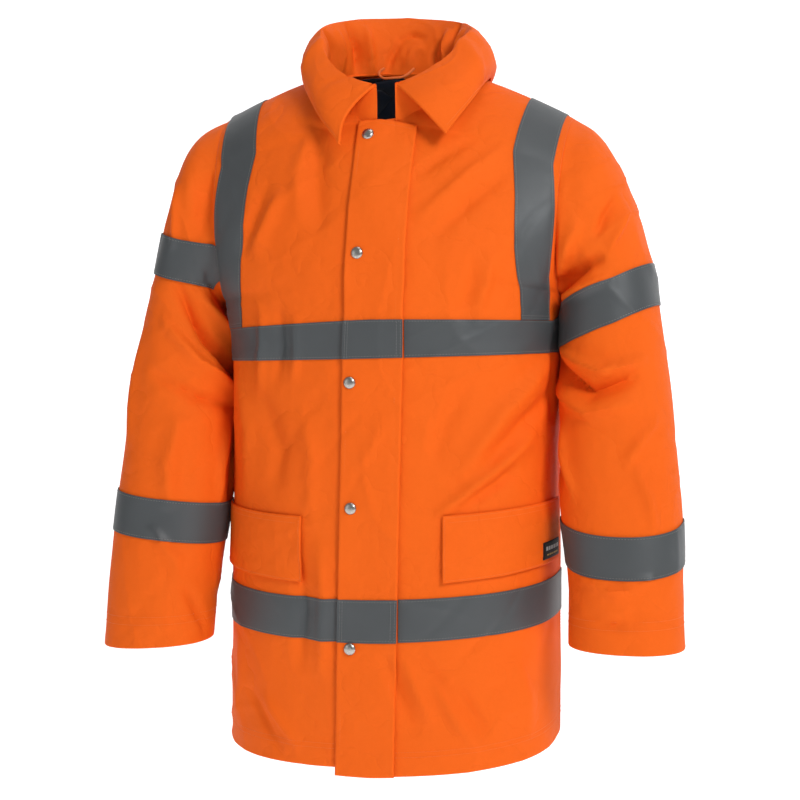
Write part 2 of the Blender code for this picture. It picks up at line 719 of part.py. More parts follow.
def build_collar():
    """The collar's outer and inner side, and the hanging loop in the back of the neck."""
    shares = even(COLLAR_STEPS)
    downs = (0.0, 0.1, 0.25, 0.5, 0.75, 1.0)
    cloth_wall("collar_fall", collar_fall, shares, downs, -FALL_CLOTH, FALL_CLOTH, ORANGE)
    cloth_wall("collar_stand", collar_stand, shares, even(4), -CLOTH, CLOTH, ORANGE)
    curve = bpy.data.curves.new("hanging_loop", "CURVE")
    curve.dimensions = "3D"
    curve.bevel_depth = LOOP_RADIUS
    curve.bevel_resolution = 1
    curve.use_fill_caps = True
    line = curve.splines.new("POLY")
    line.points.add(len(LOOP_POINTS) - 1)
    for spot, (x, y, z) in zip(line.points, LOOP_POINTS):
        spot.co = (x, y, z, 1.0)
    material = bpy.data.materials.new("hanging_loop")
    material.use_nodes = True
    material.node_tree.nodes["Principled BSDF"].inputs["Base Color"].default_value = (*ORANGE, 1.0)
    curve.materials.append(material)
    bpy.context.scene.collection.objects.link(bpy.data.objects.new("hanging_loop", curve))


def main():
    """Clears the scene and builds every piece."""
    for old in list(bpy.data.objects):
        bpy.data.objects.remove(old, do_unlink=True)
    build_body()
    build_sleeves()
    build_flap()
    build_body_tapes()
    build_braces()
    build_pockets()
    build_collar()


main()
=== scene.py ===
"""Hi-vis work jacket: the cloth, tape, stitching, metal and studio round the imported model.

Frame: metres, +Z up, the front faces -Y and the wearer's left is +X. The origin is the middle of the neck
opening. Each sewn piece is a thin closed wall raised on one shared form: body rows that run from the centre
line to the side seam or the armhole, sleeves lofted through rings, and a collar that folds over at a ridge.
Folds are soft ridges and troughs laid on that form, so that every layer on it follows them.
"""

from __future__ import annotations

import logging
import math
from dataclasses import dataclass, field, replace
from enum import Enum
from functools import lru_cache
from typing import Callable, Sequence

import bmesh
import bpy
import numpy as np
from mathutils import Matrix, Vector


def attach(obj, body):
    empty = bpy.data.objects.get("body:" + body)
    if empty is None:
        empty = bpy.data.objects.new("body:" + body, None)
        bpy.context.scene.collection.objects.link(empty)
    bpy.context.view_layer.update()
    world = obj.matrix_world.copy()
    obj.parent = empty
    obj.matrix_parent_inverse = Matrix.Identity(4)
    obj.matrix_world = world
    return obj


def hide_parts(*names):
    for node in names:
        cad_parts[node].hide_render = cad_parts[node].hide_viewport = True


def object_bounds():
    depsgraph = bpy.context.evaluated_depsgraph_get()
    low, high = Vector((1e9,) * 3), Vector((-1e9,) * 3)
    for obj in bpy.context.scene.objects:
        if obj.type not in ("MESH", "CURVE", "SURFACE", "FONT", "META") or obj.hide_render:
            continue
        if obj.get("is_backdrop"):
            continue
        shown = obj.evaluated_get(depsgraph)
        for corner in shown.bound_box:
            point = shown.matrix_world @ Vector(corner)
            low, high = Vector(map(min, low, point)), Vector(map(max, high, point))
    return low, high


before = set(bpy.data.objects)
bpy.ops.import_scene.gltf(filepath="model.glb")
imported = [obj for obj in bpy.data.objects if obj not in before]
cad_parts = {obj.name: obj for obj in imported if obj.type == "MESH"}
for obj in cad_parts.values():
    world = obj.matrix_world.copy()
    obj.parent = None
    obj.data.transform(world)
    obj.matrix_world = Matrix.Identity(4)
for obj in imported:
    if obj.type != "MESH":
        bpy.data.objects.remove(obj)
CAD_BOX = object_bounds()

log = logging.getLogger("jacket")

BODY = "root"
LEFT, RIGHT = 1, -1
SIDE_NAMES = {LEFT: "left", RIGHT: "right"}
THREAD_RISE = 0.0001
THREAD_SINK = 0.0004

Array = np.ndarray
Surface = Callable[[Array, Array], tuple[Array, Array]]


class Face(Enum):
    """The two faces of the body that the rows belong to."""

    FRONT = -1
    BACK = 1


class Held(Enum):
    """How a sewn piece is held."""

    HUNG = "hung"
    STRETCHED = "stretched"
    FOLDED = "folded"


def smooth(value: Array | float, low: float, high: float) -> Array:
    """A soft step from 0 at low to 1 at high."""
    share = np.clip((np.asarray(value, float) - low) / (high - low), 0.0, 1.0)
    return share * share * (3.0 - 2.0 * share)


def unit(vectors: Array) -> Array:
    """The vectors scaled to length 1."""
    return vectors / np.maximum(np.linalg.norm(vectors, axis=-1, keepdims=True), 1e-12)


def stack(x: Array, y: Array, z: Array) -> Array:
    """Points from their three coordinates, which may broadcast."""
    return np.stack(np.broadcast_arrays(x, y, z), axis=-1)


def blend(first: Array, second: Array, share: Array) -> Array:
    """Vectors between first and second, by a share for each point."""
    return first + (second - first) * share[..., None]


def side_sign(values: Array) -> Array:
    """1 for the wearer's left, -1 for the right; zero, which is on the centre line, counts as left."""
    return np.where(np.asarray(values) < 0.0, -1.0, 1.0)


@dataclass(frozen=True)
class Hang:
    """How the whole coat hangs: its left side rides higher below the chest and lower at the top."""

    body_rise: float = 0.028
    shoulder_rise: float = -0.022
    shift: float = 0.001

    def settle(self, points: Array) -> Array:
        """The points moved as the coat hangs."""
        share = smooth(-points[..., 2], 0.04, 0.30)
        rise = self.shoulder_rise + (self.body_rise - self.shoulder_rise) * share
        return stack(points[..., 0] + self.shift, points[..., 1], points[..., 2] + rise * points[..., 0])


@dataclass(frozen=True)
class NeckForm:
    """The neck seam: an oval in plan whose height changes from front to side to back."""

    half_width: float = 0.095
    half_depth: float = 0.0825
    centre_y: float = -0.006
    side_z: float = 0.010
    back_rise: float = 0.020
    front_drop: float = 0.060

    def point(self, turn: Array | float) -> Array:
        """A point of the seam; turn is 0 at the back and pi or -pi at the front."""
        turn = np.asarray(turn, float)
        back = np.maximum(np.cos(turn), 0.0)
        front = np.maximum(-np.cos(turn), 0.0)
        return stack(
            self.half_width * np.sin(turn),
            self.centre_y + self.half_depth * np.cos(turn),
            self.side_z + self.back_rise * back - self.front_drop * front**1.6,
        )


FOLD_SECTION, FOLD_FALL, FOLD_FADE = 1.8, 2.4, 0.7
SLEEVE_STRENGTH = 2.3


@dataclass(frozen=True)
class Fold:
    """A soft ridge or trough along a path on a form.

    The path's points are (distance across, height) in metres. depth is positive for a ridge. The fold is
    width wide from its crest to its foot, fades towards both ends, and lean moves its crest to one side,
    so that it falls more steeply there. strength scales every depth and tightness every width.
    """

    path: tuple[tuple[float, float], ...]
    width: float
    depth: float
    lean: float = 0.0
    strength: float = 1.5
    tightness: float = 0.84

    def lift(self, across: Array, height: Array) -> Array:
        """How far the fold lifts each point of a form."""
        best = np.full(np.shape(across), np.inf)
        along = np.zeros(np.shape(across))
        signed = np.zeros(np.shape(across))
        lengths = [math.dist(a, b) for a, b in zip(self.path, self.path[1:])]
        done = 0.0
        for (ax, az), (bx, bz), length in zip(self.path, self.path[1:], lengths):
            dx, dz = (bx - ax) / length, (bz - az) / length
            reach = np.clip((across - ax) * dx + (height - az) * dz, 0.0, length)
            gap_x = across - (ax + dx * reach)
            gap_z = height - (az + dz * reach)
            gap = np.hypot(gap_x, gap_z)
            near = gap < best
            best = np.where(near, gap, best)
            along = np.where(near, done + reach, along)
            signed = np.where(near, gap_x * dz - gap_z * dx, signed)
            done += length
        fade = np.sin(np.pi * np.clip(along / done, 0.0, 1.0)) ** FOLD_FADE
        spread = self.width * self.tightness * (1.0 - self.lean * np.sign(signed))
        return self.depth * self.strength * fade * np.exp(-((best / spread) ** FOLD_SECTION) * FOLD_FALL)


@dataclass(frozen=True)
class Ripple:
    """Unevenness of hanging cloth: broad waves of unlike length and direction, and small sharp creases.

    A wave's row is its turns along x, y and z and its phase. A crease's row has a last column, how fast
    it wanders and comes and goes.
    """

    size: float = 0.0011
    waves: tuple[tuple[float, float, float, float], ...] = (
        (17.0, 9.0, 8.0, 0.3), (31.0, -12.0, -13.0, 1.9), (12.0, 21.0, 24.0, 4.1),
        (-38.0, 17.0, 33.0, 2.6), (58.0, 26.0, 18.0, 0.9), (-47.0, 35.0, -52.0, 5.2),
    )
    crease_size: float = 0.0021
    creases: tuple[tuple[float, float, float, float, float], ...] = (
        (26.0, 14.0, 31.0, 0.4, 13.0), (-33.0, 20.0, 22.0, 2.2, 17.0), (41.0, -25.0, 12.0, 3.9, 11.0),
        (19.0, 30.0, -47.0, 5.1, 19.0),
    )

    def crumple(self, points: Array) -> Array:
        """Sharp little creases that come and go, as in a crisp coated cloth."""
        x, y, z = points[..., 0], points[..., 1], points[..., 2]
        total = np.zeros_like(x)
        for a, b, c, phase, slow in self.creases:
            warp = 1.4 * np.sin(slow * (x - z) + phase) + 0.9 * np.sin(slow * 1.7 * (y + 0.6 * z) - phase)
            line = (1.0 - np.abs(np.sin(a * x + b * y + c * z + warp + phase))) ** 5
            patchy = np.clip(np.sin(slow * 0.8 * z + phase * 2.0) * np.cos(slow * 0.9 * x - phase), 0.0, 1.0)
            total = total + line * patchy * math.copysign(1.0, a)
        return total * self.crease_size

    def lift(self, points: Array) -> Array:
        """How far the waves and the creases lift each point."""
        total = sum(
            np.sin(a * points[..., 0] + b * points[..., 1] + c * points[..., 2] + phase)
            / (1.0 + 0.015 * abs(a))
            for a, b, c, phase in self.waves
        )
        return self.size * total * 0.5 + self.crumple(points)


@dataclass(frozen=True)
class BodyForm:
    """The body's form: rows round a front or a back face, from the hem up to the shoulder seam.

    A level is -1 at the hem, 0 at the underarm and 1 at the shoulder seam. A row is measured by its arc
    from the centre line, positive on the wearer's left.
    """

    hem_z: float = -0.830
    underarm_z: float = -0.270
    underarm_x: float = 0.2105
    shoulder: tuple[float, float, float] = (0.224, 0.030, -0.038)
    armhole_reach: tuple[float, float] = (-0.098, 0.102)
    armhole_dip: float = 0.004
    depth: float = 0.150
    waist: float = 0.0035
    waist_z: float = -0.47
    section_power: float = 2.3
    shoulder_power: float = 1.12
    neck_level: float = 0.625
    overlap_x: float = 0.006
    side_bow: float = 0.015
    front_hem_drop: float = 0.008
    right_hem_rise: float = 0.011
    left_hem_drop: float = 0.007
    seam_gap: float = -0.0002
    tape_width: float = 0.050
    brace_columns: tuple[float, float] = (0.64, 0.82)
    brace_middle: tuple[float, float, float] = (0.722, 0.865, 0.745)
    row_samples: int = 385
    ease: float = 0.16
    neck: NeckForm = NeckForm()
    hang: Hang = Hang()
    ripple: Ripple = Ripple()
    folds: dict = field(default_factory=dict, hash=False, compare=False)

    def level_of(self, height: float) -> float:
        """The level of a row below the underarm."""
        return (height - self.underarm_z) / (self.underarm_z - self.hem_z)

    def front_level(self, height: float) -> float:
        """The level of the front's centre line at a height, above or below the underarm."""
        if height <= self.underarm_z:
            return self.level_of(height)
        top = float(self.neck.point(math.pi)[2])
        return (height - self.underarm_z) / (top - self.underarm_z) * self.neck_level

    def armhole(self, face: Face, level: Array | float) -> Array:
        """A point of the armhole from the underarm (level 0) to the shoulder point (level 1)."""
        angle = math.pi * np.asarray(level, float)
        climb = (1.0 - np.cos(angle)) / 2.0
        across = np.sin(angle)
        reach = self.armhole_reach[0 if face is Face.FRONT else 1]
        return stack(
            self.underarm_x + (self.shoulder[0] - self.underarm_x) * climb - self.armhole_dip * across,
            self.shoulder[1] * climb + reach * across,
            self.underarm_z + (self.shoulder[2] - self.underarm_z) * climb,
        )

    def centre(self, face: Face, level: float) -> Array:
        """The start of a row: on the centre line, and above the neck level along the neck seam."""
        if level > self.neck_level:
            share = (level - self.neck_level) / (1.0 - self.neck_level)
            return self.neck.point(math.pi * (1.0 - share / 2.0 if face is Face.FRONT else share / 2.0))
        depth = face.value * self.depth
        if level <= 0.0:
            return np.array((0.0, depth, self.underarm_z + level * (self.underarm_z - self.hem_z)))
        end = self.neck.point(math.pi if face is Face.FRONT else 0.0)
        share = level / self.neck_level
        pull = share**2.2 if face is Face.FRONT else share**3.0
        height = self.underarm_z + (end[2] - self.underarm_z) * share
        return np.array((0.0, depth + (end[1] - depth) * pull, height))

    @lru_cache(maxsize=None)
    def row(self, face: Face, level: float) -> tuple[Array, Array]:
        """A row of the half body as (distance along it, points), from the centre line to the side."""
        start = self.centre(face, level)
        if level <= 0.0:
            waist = self.waist * math.exp(-(((start[2] - self.waist_z) / 0.12) ** 2))
            end = np.array((self.underarm_x - waist, 0.0, start[2]))
        else:
            end = self.armhole(face, level)
        power = self.section_power + (self.shoulder_power - self.section_power) * float(
            smooth(level, 0.15, 1.0)
        )
        angles = np.linspace(0.0, math.pi / 2.0, self.row_samples)
        over = np.sin(angles) ** (2.0 / power)
        down = np.clip(np.cos(angles), 0.0, 1.0) ** (2.0 / power)
        points = stack(
            start[0] + (end[0] - start[0]) * over,
            end[1] + (start[1] - end[1]) * down,
            start[2] + (end[2] - start[2]) * over**1.3,
        )
        steps = np.linalg.norm(np.diff(points, axis=0), axis=1)
        return np.concatenate([[0.0], np.cumsum(steps)]), points

    def length(self, face: Face, level: float) -> float:
        """The length of a row, from the centre line to the side."""
        return float(self.row(face, level)[0][-1])

    def lengths(self, face: Face, levels: Array) -> Array:
        """The lengths of the rows at levels, as a column."""
        return np.array([self.length(face, float(np.clip(level, -1.0, 1.0))) for level in levels])[:, None]

    def arcs(self, face: Face, side: int, columns: Array, level: float) -> Array:
        """Signed arcs of the columns of a row; the braces keep to whole columns."""
        distance, points = self.row(face, level)
        length = distance[-1]
        foot, chest, top = self.brace_middle
        middle = foot + (chest - foot) * float(smooth(level, -0.1, 0.5))
        middle += (top - chest) * float(smooth(level, 0.45, 1.05))
        first = max(self.overlap_x - points[0][0], 0.0) / length if face is Face.FRONT else 0.0
        half = self.tape_width / 2.0 / length
        knots = (0.0, *self.brace_columns, 1.0)
        shares = (first, middle - half, min(middle + half, 0.985), 1.0)
        return side * np.interp(np.abs(columns), knots, shares) * length

    def bare(self, face: Face, arcs: Array, levels: Array, one_hem: bool = False) -> Array:
        """Points of the form without folds, with the turn at the underarm eased over nearby levels."""
        levels = np.clip(np.asarray(levels, float), -1.0, 1.0)
        points = self.rows(face, arcs, levels, one_hem)
        near = np.flatnonzero(np.abs(levels) < self.ease)
        if not len(near):
            return points
        shares = arcs[near] / self.lengths(face, levels[near])
        reach = 0.75 * self.ease * (1.0 - (levels[near] / self.ease) ** 2)
        steps = (-1.0, -0.5, 0.5, 1.0)
        total = points[near].copy()
        for step in steps:
            moved = np.clip(levels[near] + reach * step, -1.0, 1.0)
            total += self.rows(face, shares * self.lengths(face, moved), moved, one_hem)
        share = 1.0 - smooth(np.abs(shares), 0.84, 0.97)
        points[near] = blend(points[near], total / (len(steps) + 1.0), share)
        return points

    def rows(self, face: Face, arcs: Array, levels: Array, one_hem: bool = False) -> Array:
        """Points of the plain rows, at signed arcs (a row for each level).

        Args:
            face: the face of the body.
            arcs: signed arcs from the centre line.
            levels: the level of each row.
            one_hem: whether the whole piece keeps to the left front's hem, as the storm flap does.

        Returns:
            The points.
        """
        made = np.empty((*arcs.shape, 3))
        for index, level in enumerate(levels):
            level = float(np.clip(level, -1.0, 1.0))
            distance, points = self.row(face, level)
            along = np.clip(np.abs(arcs[index]), 0.0, distance[-1])
            share = along / distance[-1]
            x, y, z = (np.interp(along, distance, points[:, axis]) for axis in range(3))
            sign = side_sign(arcs[index])
            y = y + self.seam_gap * face.value
            z = z + self.side_bow * smooth(-z, 0.42, 0.62) * share**2
            z = z - self.front_hem_drop * (1.0 - share) ** 2 * smooth(-level, 0.6, 1.0)
            if face is Face.FRONT:
                rise = self.right_hem_rise * (1.0 - share) ** 2 * smooth(-level, 0.75, 1.0)
                drop = self.left_hem_drop * (1.0 - share**3) * share * smooth(-level, 0.7, 1.0)
                z = z + np.where((sign < 0.0) & (not one_hem), rise, -drop)
            made[index] = stack(sign * x, y, z)
        return self.hang.settle(made)

    def normals(self, face: Face, arcs: Array, levels: Array, points: Array) -> Array:
        """Outward normals of the form; those of front and back agree along their seams."""
        step, rise = 0.0025, 0.006
        lengths = self.lengths(face, levels)
        low = np.clip(arcs - step, -lengths, lengths)
        high = np.clip(arcs + step, -lengths, lengths)
        ahead = self.bare(face, high, levels) - self.bare(face, low, levels)
        shares = arcs / lengths

        def shifted(change: float) -> Array:
            """The form at levels a little higher or lower."""
            moved = np.clip(np.asarray(levels) + change, -1.0, 1.0)
            return self.bare(face, shares * self.lengths(face, moved), moved)

        normal = unit(np.cross(ahead, shifted(rise) - shifted(-rise)))
        outward = stack(points[..., 0], points[..., 1], 0.05)
        normal = np.where((normal * outward).sum(-1, keepdims=True) < 0.0, -normal, normal)
        level = np.asarray(levels)[:, None] * np.ones_like(arcs)
        share = np.abs(shares)
        near_neck = smooth(level, self.neck_level - 0.06, self.neck_level) * (1.0 - smooth(share, 0.0, 0.35))
        at_neck = unit(stack(2.6 * points[..., 0], 7.0 * (points[..., 1] - self.neck.centre_y), 0.8))
        normal = unit(blend(normal, at_neck, near_neck))
        sign = side_sign(arcs)
        at_shoulder = unit(stack(0.28 * sign, 0.0, 1.0))
        normal = blend(normal, at_shoulder, smooth(level, 0.86, 1.0))
        flank = stack(sign, 0.0, 0.0)
        below = np.where(level <= 0.0, smooth(share, 0.93, 1.0), 0.0)
        return unit(blend(normal, flank, below))

    def lift(self, face: Face, arcs: Array, levels: Array, points: Array) -> Array:
        """How far the folds lift the form, fading out at the seams round a panel."""
        lengths = self.lengths(face, levels)
        total = np.zeros_like(arcs)
        for fold in self.folds.get(face, ()):
            total = total + fold.lift(arcs, points[..., 2])
        total = (total + self.ripple.lift(points)) * smooth(lengths - np.abs(arcs), 0.0, 0.016)
        return total * (1.0 - smooth(np.asarray(levels)[:, None], 0.90, 1.0))

    def on(self, face: Face, arcs: Array, levels: Array, one_hem: bool = False) -> tuple[Array, Array]:
        """(points, normals) of the folded form at signed arcs, a row for each level."""
        points = self.bare(face, arcs, levels, one_hem)
        normals = self.normals(face, arcs, levels, points)
        return points + normals * self.lift(face, arcs, levels, points)[..., None], normals

    def half(self, face: Face, side: int) -> Surface:
        """The surface of half a front or back, over columns and levels."""
        def surface(columns: Array, levels: Array) -> tuple[Array, Array]:
            """The half's points and normals."""
            arcs = np.stack([self.arcs(face, side, columns, float(level)) for level in levels])
            if side < 0:
                arcs = np.where(arcs == 0.0, -1e-9, arcs)
            return self.on(face, arcs, levels)
        return surface


@dataclass(frozen=True)
class SleeveForm:
    """A sleeve's form, lofted through rings from the armhole to the cuff, for one side.

    A turn is 0 at the shoulder side and pi at the underarm, front first. A position counts the rings.
    """

    side: int
    body: BodyForm
    rings: tuple[tuple[float, ...], ...] = (
        (0.224, -0.038, 0.2140, -0.270, 0.010, 0.100),
        (0.250, -0.054, 0.2165, -0.272, 0.011, 0.098),
        (0.272, -0.083, 0.2180, -0.276, 0.011, 0.095),
        (0.289, -0.117, 0.2190, -0.281, 0.008, 0.092),
        (0.301, -0.152, 0.2195, -0.288, 0.004, 0.089),
        (0.310, -0.188, 0.2200, -0.297, -0.001, 0.086),
        (0.320, -0.230, 0.2205, -0.312, -0.008, 0.083),
        (0.331, -0.285, 0.2210, -0.342, -0.016, 0.080),
        (0.342, -0.352, 0.2215, -0.392, -0.026, 0.076),
        (0.3515, -0.430, 0.2225, -0.457, -0.038, 0.072),
        (0.359, -0.510, 0.2245, -0.528, -0.051, 0.069),
        (0.364, -0.600, 0.2275, -0.605, -0.066, 0.066),
        (0.3665, -0.691, 0.2300, -0.686, -0.081, 0.062),
    )
    power: float = 2.2
    ring_step: float = -0.0004
    hug: float = 0.0100
    right_shift: float = 0.009
    radius: float = 0.078
    halvings: int = 26
    ripple: Ripple = Ripple()
    folds: tuple[Fold, ...] = ()

    @property
    def last(self) -> float:
        """The position of the cuff."""
        return len(self.rings) - 1.0

    def measures(self, positions: Array) -> Array:
        """The ring measures at positions, on a smooth curve through the rings."""
        table = np.array(self.rings)
        last = len(table) - 1
        index = np.minimum(positions.astype(int), last - 1)
        share = (positions - index)[..., None]
        before, here, there, after = (table[np.clip(index + k, 0, last)] for k in (-1, 0, 1, 2))
        return (
            2.0 * here
            + (there - before) * share
            + (2.0 * before - 5.0 * here + 4.0 * there - after) * share**2
            + (3.0 * here - before - 3.0 * there + after) * share**3
        ) / 2.0

    def ring(self, turns: Array, positions: Array) -> Array:
        """Points of the +X sleeve's rings."""
        outer_x, outer_z, inner_x, inner_z, middle_y, half_depth = np.moveaxis(
            self.measures(positions), -1, 0
        )
        cos, sin = np.cos(turns), np.sin(turns)
        along = np.sign(cos) * np.abs(cos) ** (2.0 / self.power)
        depth = np.sign(sin) * np.abs(sin) ** (2.0 / self.power)
        return stack(
            (outer_x + inner_x) / 2.0 + (outer_x - inner_x) / 2.0 * along,
            middle_y - half_depth * depth,
            (outer_z + inner_z) / 2.0 + (outer_z - inner_z) / 2.0 * along,
        )

    def armhole(self, turns: Array) -> Array:
        """The armhole as a ring of the +X sleeve."""
        turns = turns % math.tau
        front = self.body.armhole(Face.FRONT, 1.0 - turns / math.pi)
        back = self.body.armhole(Face.BACK, turns / math.pi - 1.0)
        return np.where((turns <= math.pi)[..., None], front, back)

    def bare(self, turns: Array, positions: Array) -> Array:
        """Points of the sleeve without folds; it leaves the armhole's own line and joins the rings."""
        positions = np.clip(positions, 0.0, self.last)
        points = self.ring(turns, positions)
        hold = (1.0 - smooth(positions, 0.0, 2.2)) ** 1.5
        points = points + (self.armhole(turns) - self.ring(turns, np.zeros_like(positions))) * hold[..., None]
        inner = smooth(positions, 2.0, 5.0) * (1.0 - smooth(positions, 9.5, 11.6))
        inner = inner * np.maximum(-np.cos(turns), 0.0)
        x = points[..., 0] + self.ring_step - self.hug * inner
        if self.side == RIGHT:
            outer = smooth(positions, 1.0, 4.0) * np.maximum(np.cos(turns), 0.0)
            x = x - self.right_shift * np.maximum(smooth(positions, 4.0, 8.0), outer)
        return self.body.hang.settle(stack(self.side * x, points[..., 1], points[..., 2]))

    def on(self, turns: Array, positions: Array) -> tuple[Array, Array]:
        """(points, normals) of the folded sleeve."""
        step = 0.02
        around = self.bare(turns + step, positions) - self.bare(turns - step, positions)
        down = self.bare(turns, positions + step) - self.bare(turns, positions - step)
        points = self.bare(turns, positions)
        normals = unit(np.cross(around, down))
        middle = (self.bare(turns * 0.0, positions) + self.bare(turns * 0.0 + math.pi, positions)) / 2.0
        inside = (normals * (points - middle)).sum(-1, keepdims=True) < 0.0
        normals = np.where(inside, -normals, normals)
        normals = unit(stack(normals[..., 0] * smooth(positions, 0.0, 1.0), normals[..., 1], normals[..., 2]))
        girth = math.tau * self.radius
        across = (turns % math.tau) * self.radius
        lift = self.ripple.lift(points)
        for fold in self.folds:
            lift = lift + fold.lift(across, points[..., 2]) + fold.lift(across - girth, points[..., 2])
        lift = lift * smooth(positions, 0.0, 0.5)
        return points + normals * lift[..., None], normals

    def surface(self, turns: Array, positions: Array) -> tuple[Array, Array]:
        """The surface over turns and positions."""
        across, along = np.meshgrid(turns, positions)
        return self.on(across, along)

    def band(self, outer_z: float, inner_z: float, power: float, sag: float, width: float) -> Surface:
        """The surface of a tape over (turn, share up): level round the sleeve in its own plane."""
        def surface(turns: Array, ups: Array) -> tuple[Array, Array]:
            """The tape's points and normals, found by halving the position."""
            across, up = np.meshgrid(turns, ups)
            inwards = ((1.0 - np.cos(across)) / 2.0) ** power
            target = outer_z + (inner_z - outer_z) * inwards + (up - 0.5) * width
            target = target - sag * np.maximum(np.sin(across), 0.0)
            low, high = np.full_like(target, 0.12), np.full_like(target, self.last)
            for _ in range(self.halvings):
                middle = (low + high) / 2.0
                above = self.bare(across, middle)[..., 2] > target
                low, high = np.where(above, middle, low), np.where(above, high, middle)
            return self.on(across, low)
        return surface


@dataclass(frozen=True)
class CollarForm:
    """The collar: a ridge where it folds over, the fall outside and the stand inside."""

    neck: NeckForm
    hang: Hang
    half_width: float = 0.095
    tilt: float = -0.028
    shift: float = -0.004
    back_y: float = 0.112
    front_y: float = -0.094
    side_z: float = 0.074
    back_rise: float = 0.033
    front_drop: float = 0.083
    ends: tuple[float, float] = (-0.004, 0.018)
    fall_side: tuple[float, float, float] = (0.1175, 0.004, 0.011)
    fall_back: tuple[float, float, float] = (0.0, 0.136, -0.006)
    corner_rise: float = 0.008
    left_tip: tuple[float, float, float] = (0.086, -0.120, -0.072)
    right_tip: tuple[float, float, float] = (-0.042, -0.126, -0.086)
    bulge_back: float = 0.024
    bulge_side: float = 0.014
    bulge_front: float = 0.007
    stand_bulge: float = 0.013
    stand_inset: float = 0.0016
    tuck: float = 0.0045
    back_lift: float = -0.0030
    tip_spread: float = -0.012
    round_length: float = 0.46
    ripple: Ripple = Ripple()
    folds: tuple[Fold, ...] = ()

    def turn(self, share: Array) -> Array:
        """The turn at a share round the collar, from the right front end round the back to the left."""
        right = -(math.pi - math.asin(-self.ends[0] / self.half_width))
        left = math.pi - math.asin(self.ends[1] / self.half_width)
        return right + (left - right) * share

    def ridge(self, turn: Array) -> Array:
        """Points of the ridge; turn runs from -pi to pi, 0 at the back."""
        back = np.maximum(np.cos(turn), 0.0)
        front = np.maximum(-np.cos(turn), 0.0)
        x = self.half_width * np.sin(turn)
        height = self.side_z + self.back_rise * back - self.front_drop * front**1.3
        return stack(
            x + self.shift * back,
            self.back_y * back + self.front_y * front,
            height + self.tilt * x * (1.0 - front),
        )

    def edge(self, turn: Array) -> Array:
        """Points of the fall's lower edge: round the back, over the shoulder, and out to the tips."""
        side = side_sign(turn)
        cos, sin = np.cos(turn), np.sin(turn)
        round_back = stack(
            side * self.fall_side[0] * np.abs(sin),
            self.fall_side[1] + (self.fall_back[1] - self.fall_side[1]) * cos,
            self.fall_side[2]
            + (self.fall_back[2] - self.fall_side[2]) * cos**2
            + self.corner_rise * np.sin(2.0 * turn) ** 2,
        )
        ends = np.where(side > 0.0, np.abs(self.turn(np.float64(1.0))), np.abs(self.turn(np.float64(0.0))))
        share = np.clip((np.abs(turn) - math.pi / 2.0) / (ends - math.pi / 2.0), 0.0, 1.0)
        start = stack(side * self.fall_side[0], self.fall_side[1], self.fall_side[2])
        tip = np.where((side > 0.0)[..., None], np.array(self.left_tip), np.array(self.right_tip))
        bow = np.sin(math.pi * share)
        leaf = blend(start, tip, share) + stack(side * 0.012 * bow, -0.014 * bow, 0.010 * bow)
        return np.where((np.abs(turn) <= math.pi / 2.0)[..., None], round_back, leaf)

    def fall(self, share: Array, down: Array) -> Array:
        """Points of the fall over (share round, share down from the ridge)."""
        turn = self.turn(share)
        side = side_sign(turn)
        back = np.maximum(np.cos(turn), 0.0)
        front = np.maximum(-np.cos(turn), 0.0)
        bulge = self.bulge_side + (self.bulge_back - self.bulge_side) * back
        bulge = bulge + (self.bulge_front - bulge) * front
        swell = np.sin(math.pi * np.clip(down, 0.0, 1.0)) ** 0.75
        points = blend(self.ridge(turn), self.edge(turn), down)
        points = points + unit(stack(np.sin(turn), np.cos(turn), 0.15)) * (bulge * swell)[..., None]
        spread = np.where(side < 0.0, self.tip_spread, 0.0) * front**4 * np.sin(math.pi * down)
        return self.hang.settle(stack(points[..., 0] + spread, points[..., 1], points[..., 2]))

    def stand(self, share: Array, up: Array) -> Array:
        """Points of the inner side over (share round, share up from the neck seam to the ridge)."""
        turn = self.turn(share)
        front = np.maximum(-np.cos(turn), 0.0)
        back = np.maximum(np.cos(turn), 0.0)
        tuck = self.tuck - (self.tuck + self.back_lift) * back
        base = self.neck.point(turn) - stack(np.zeros_like(turn), np.zeros_like(turn), tuck)
        inward = stack(-np.sin(turn), -np.cos(turn), 0.0)
        plump = self.stand_bulge * (1.0 - 0.75 * front)
        reach = self.stand_inset * (1.0 - up) + plump * np.sin(math.pi * up) ** 0.7 * (0.35 + 0.65 * up)
        return self.hang.settle(blend(base, self.ridge(turn), up) + inward * reach[..., None])

    def roll(self, shares: Array, travels: Array) -> tuple[Array, Array]:
        """The whole collar over (share round, travel): 0 to 1 up the stand and 1 to 2 down the fall.

        Its normals point to the side that shows: into the neck on the stand, outwards on the fall.
        """
        share, travel = np.meshgrid(shares, travels)
        up = np.clip(travel, 0.0, 1.0)
        down = np.clip(travel - 1.0, 0.0, 1.0)
        points = np.where((travel <= 1.0)[..., None], self.stand(share, up), self.fall(share, down))
        across = np.gradient(points, axis=1)
        along = np.gradient(points, axis=0)
        normals = unit(np.cross(along, across))
        outward = unit(points[-1] * np.array((1.0, 1.0, 0.0)))
        if float((normals[-2] * outward).sum()) < 0.0:
            normals = -normals
        for _ in range(2):
            blurred = normals.copy()
            blurred[1:-1] = normals[:-2] + 2.0 * normals[1:-1] + normals[2:]
            normals = unit(blurred)
        lift = self.ripple.lift(points * 1.6) * 0.8
        height = run_lengths(points, 0)
        for fold in self.folds:
            lift = lift + fold.lift(share * self.round_length, height)
        return points + normals * lift[..., None], normals


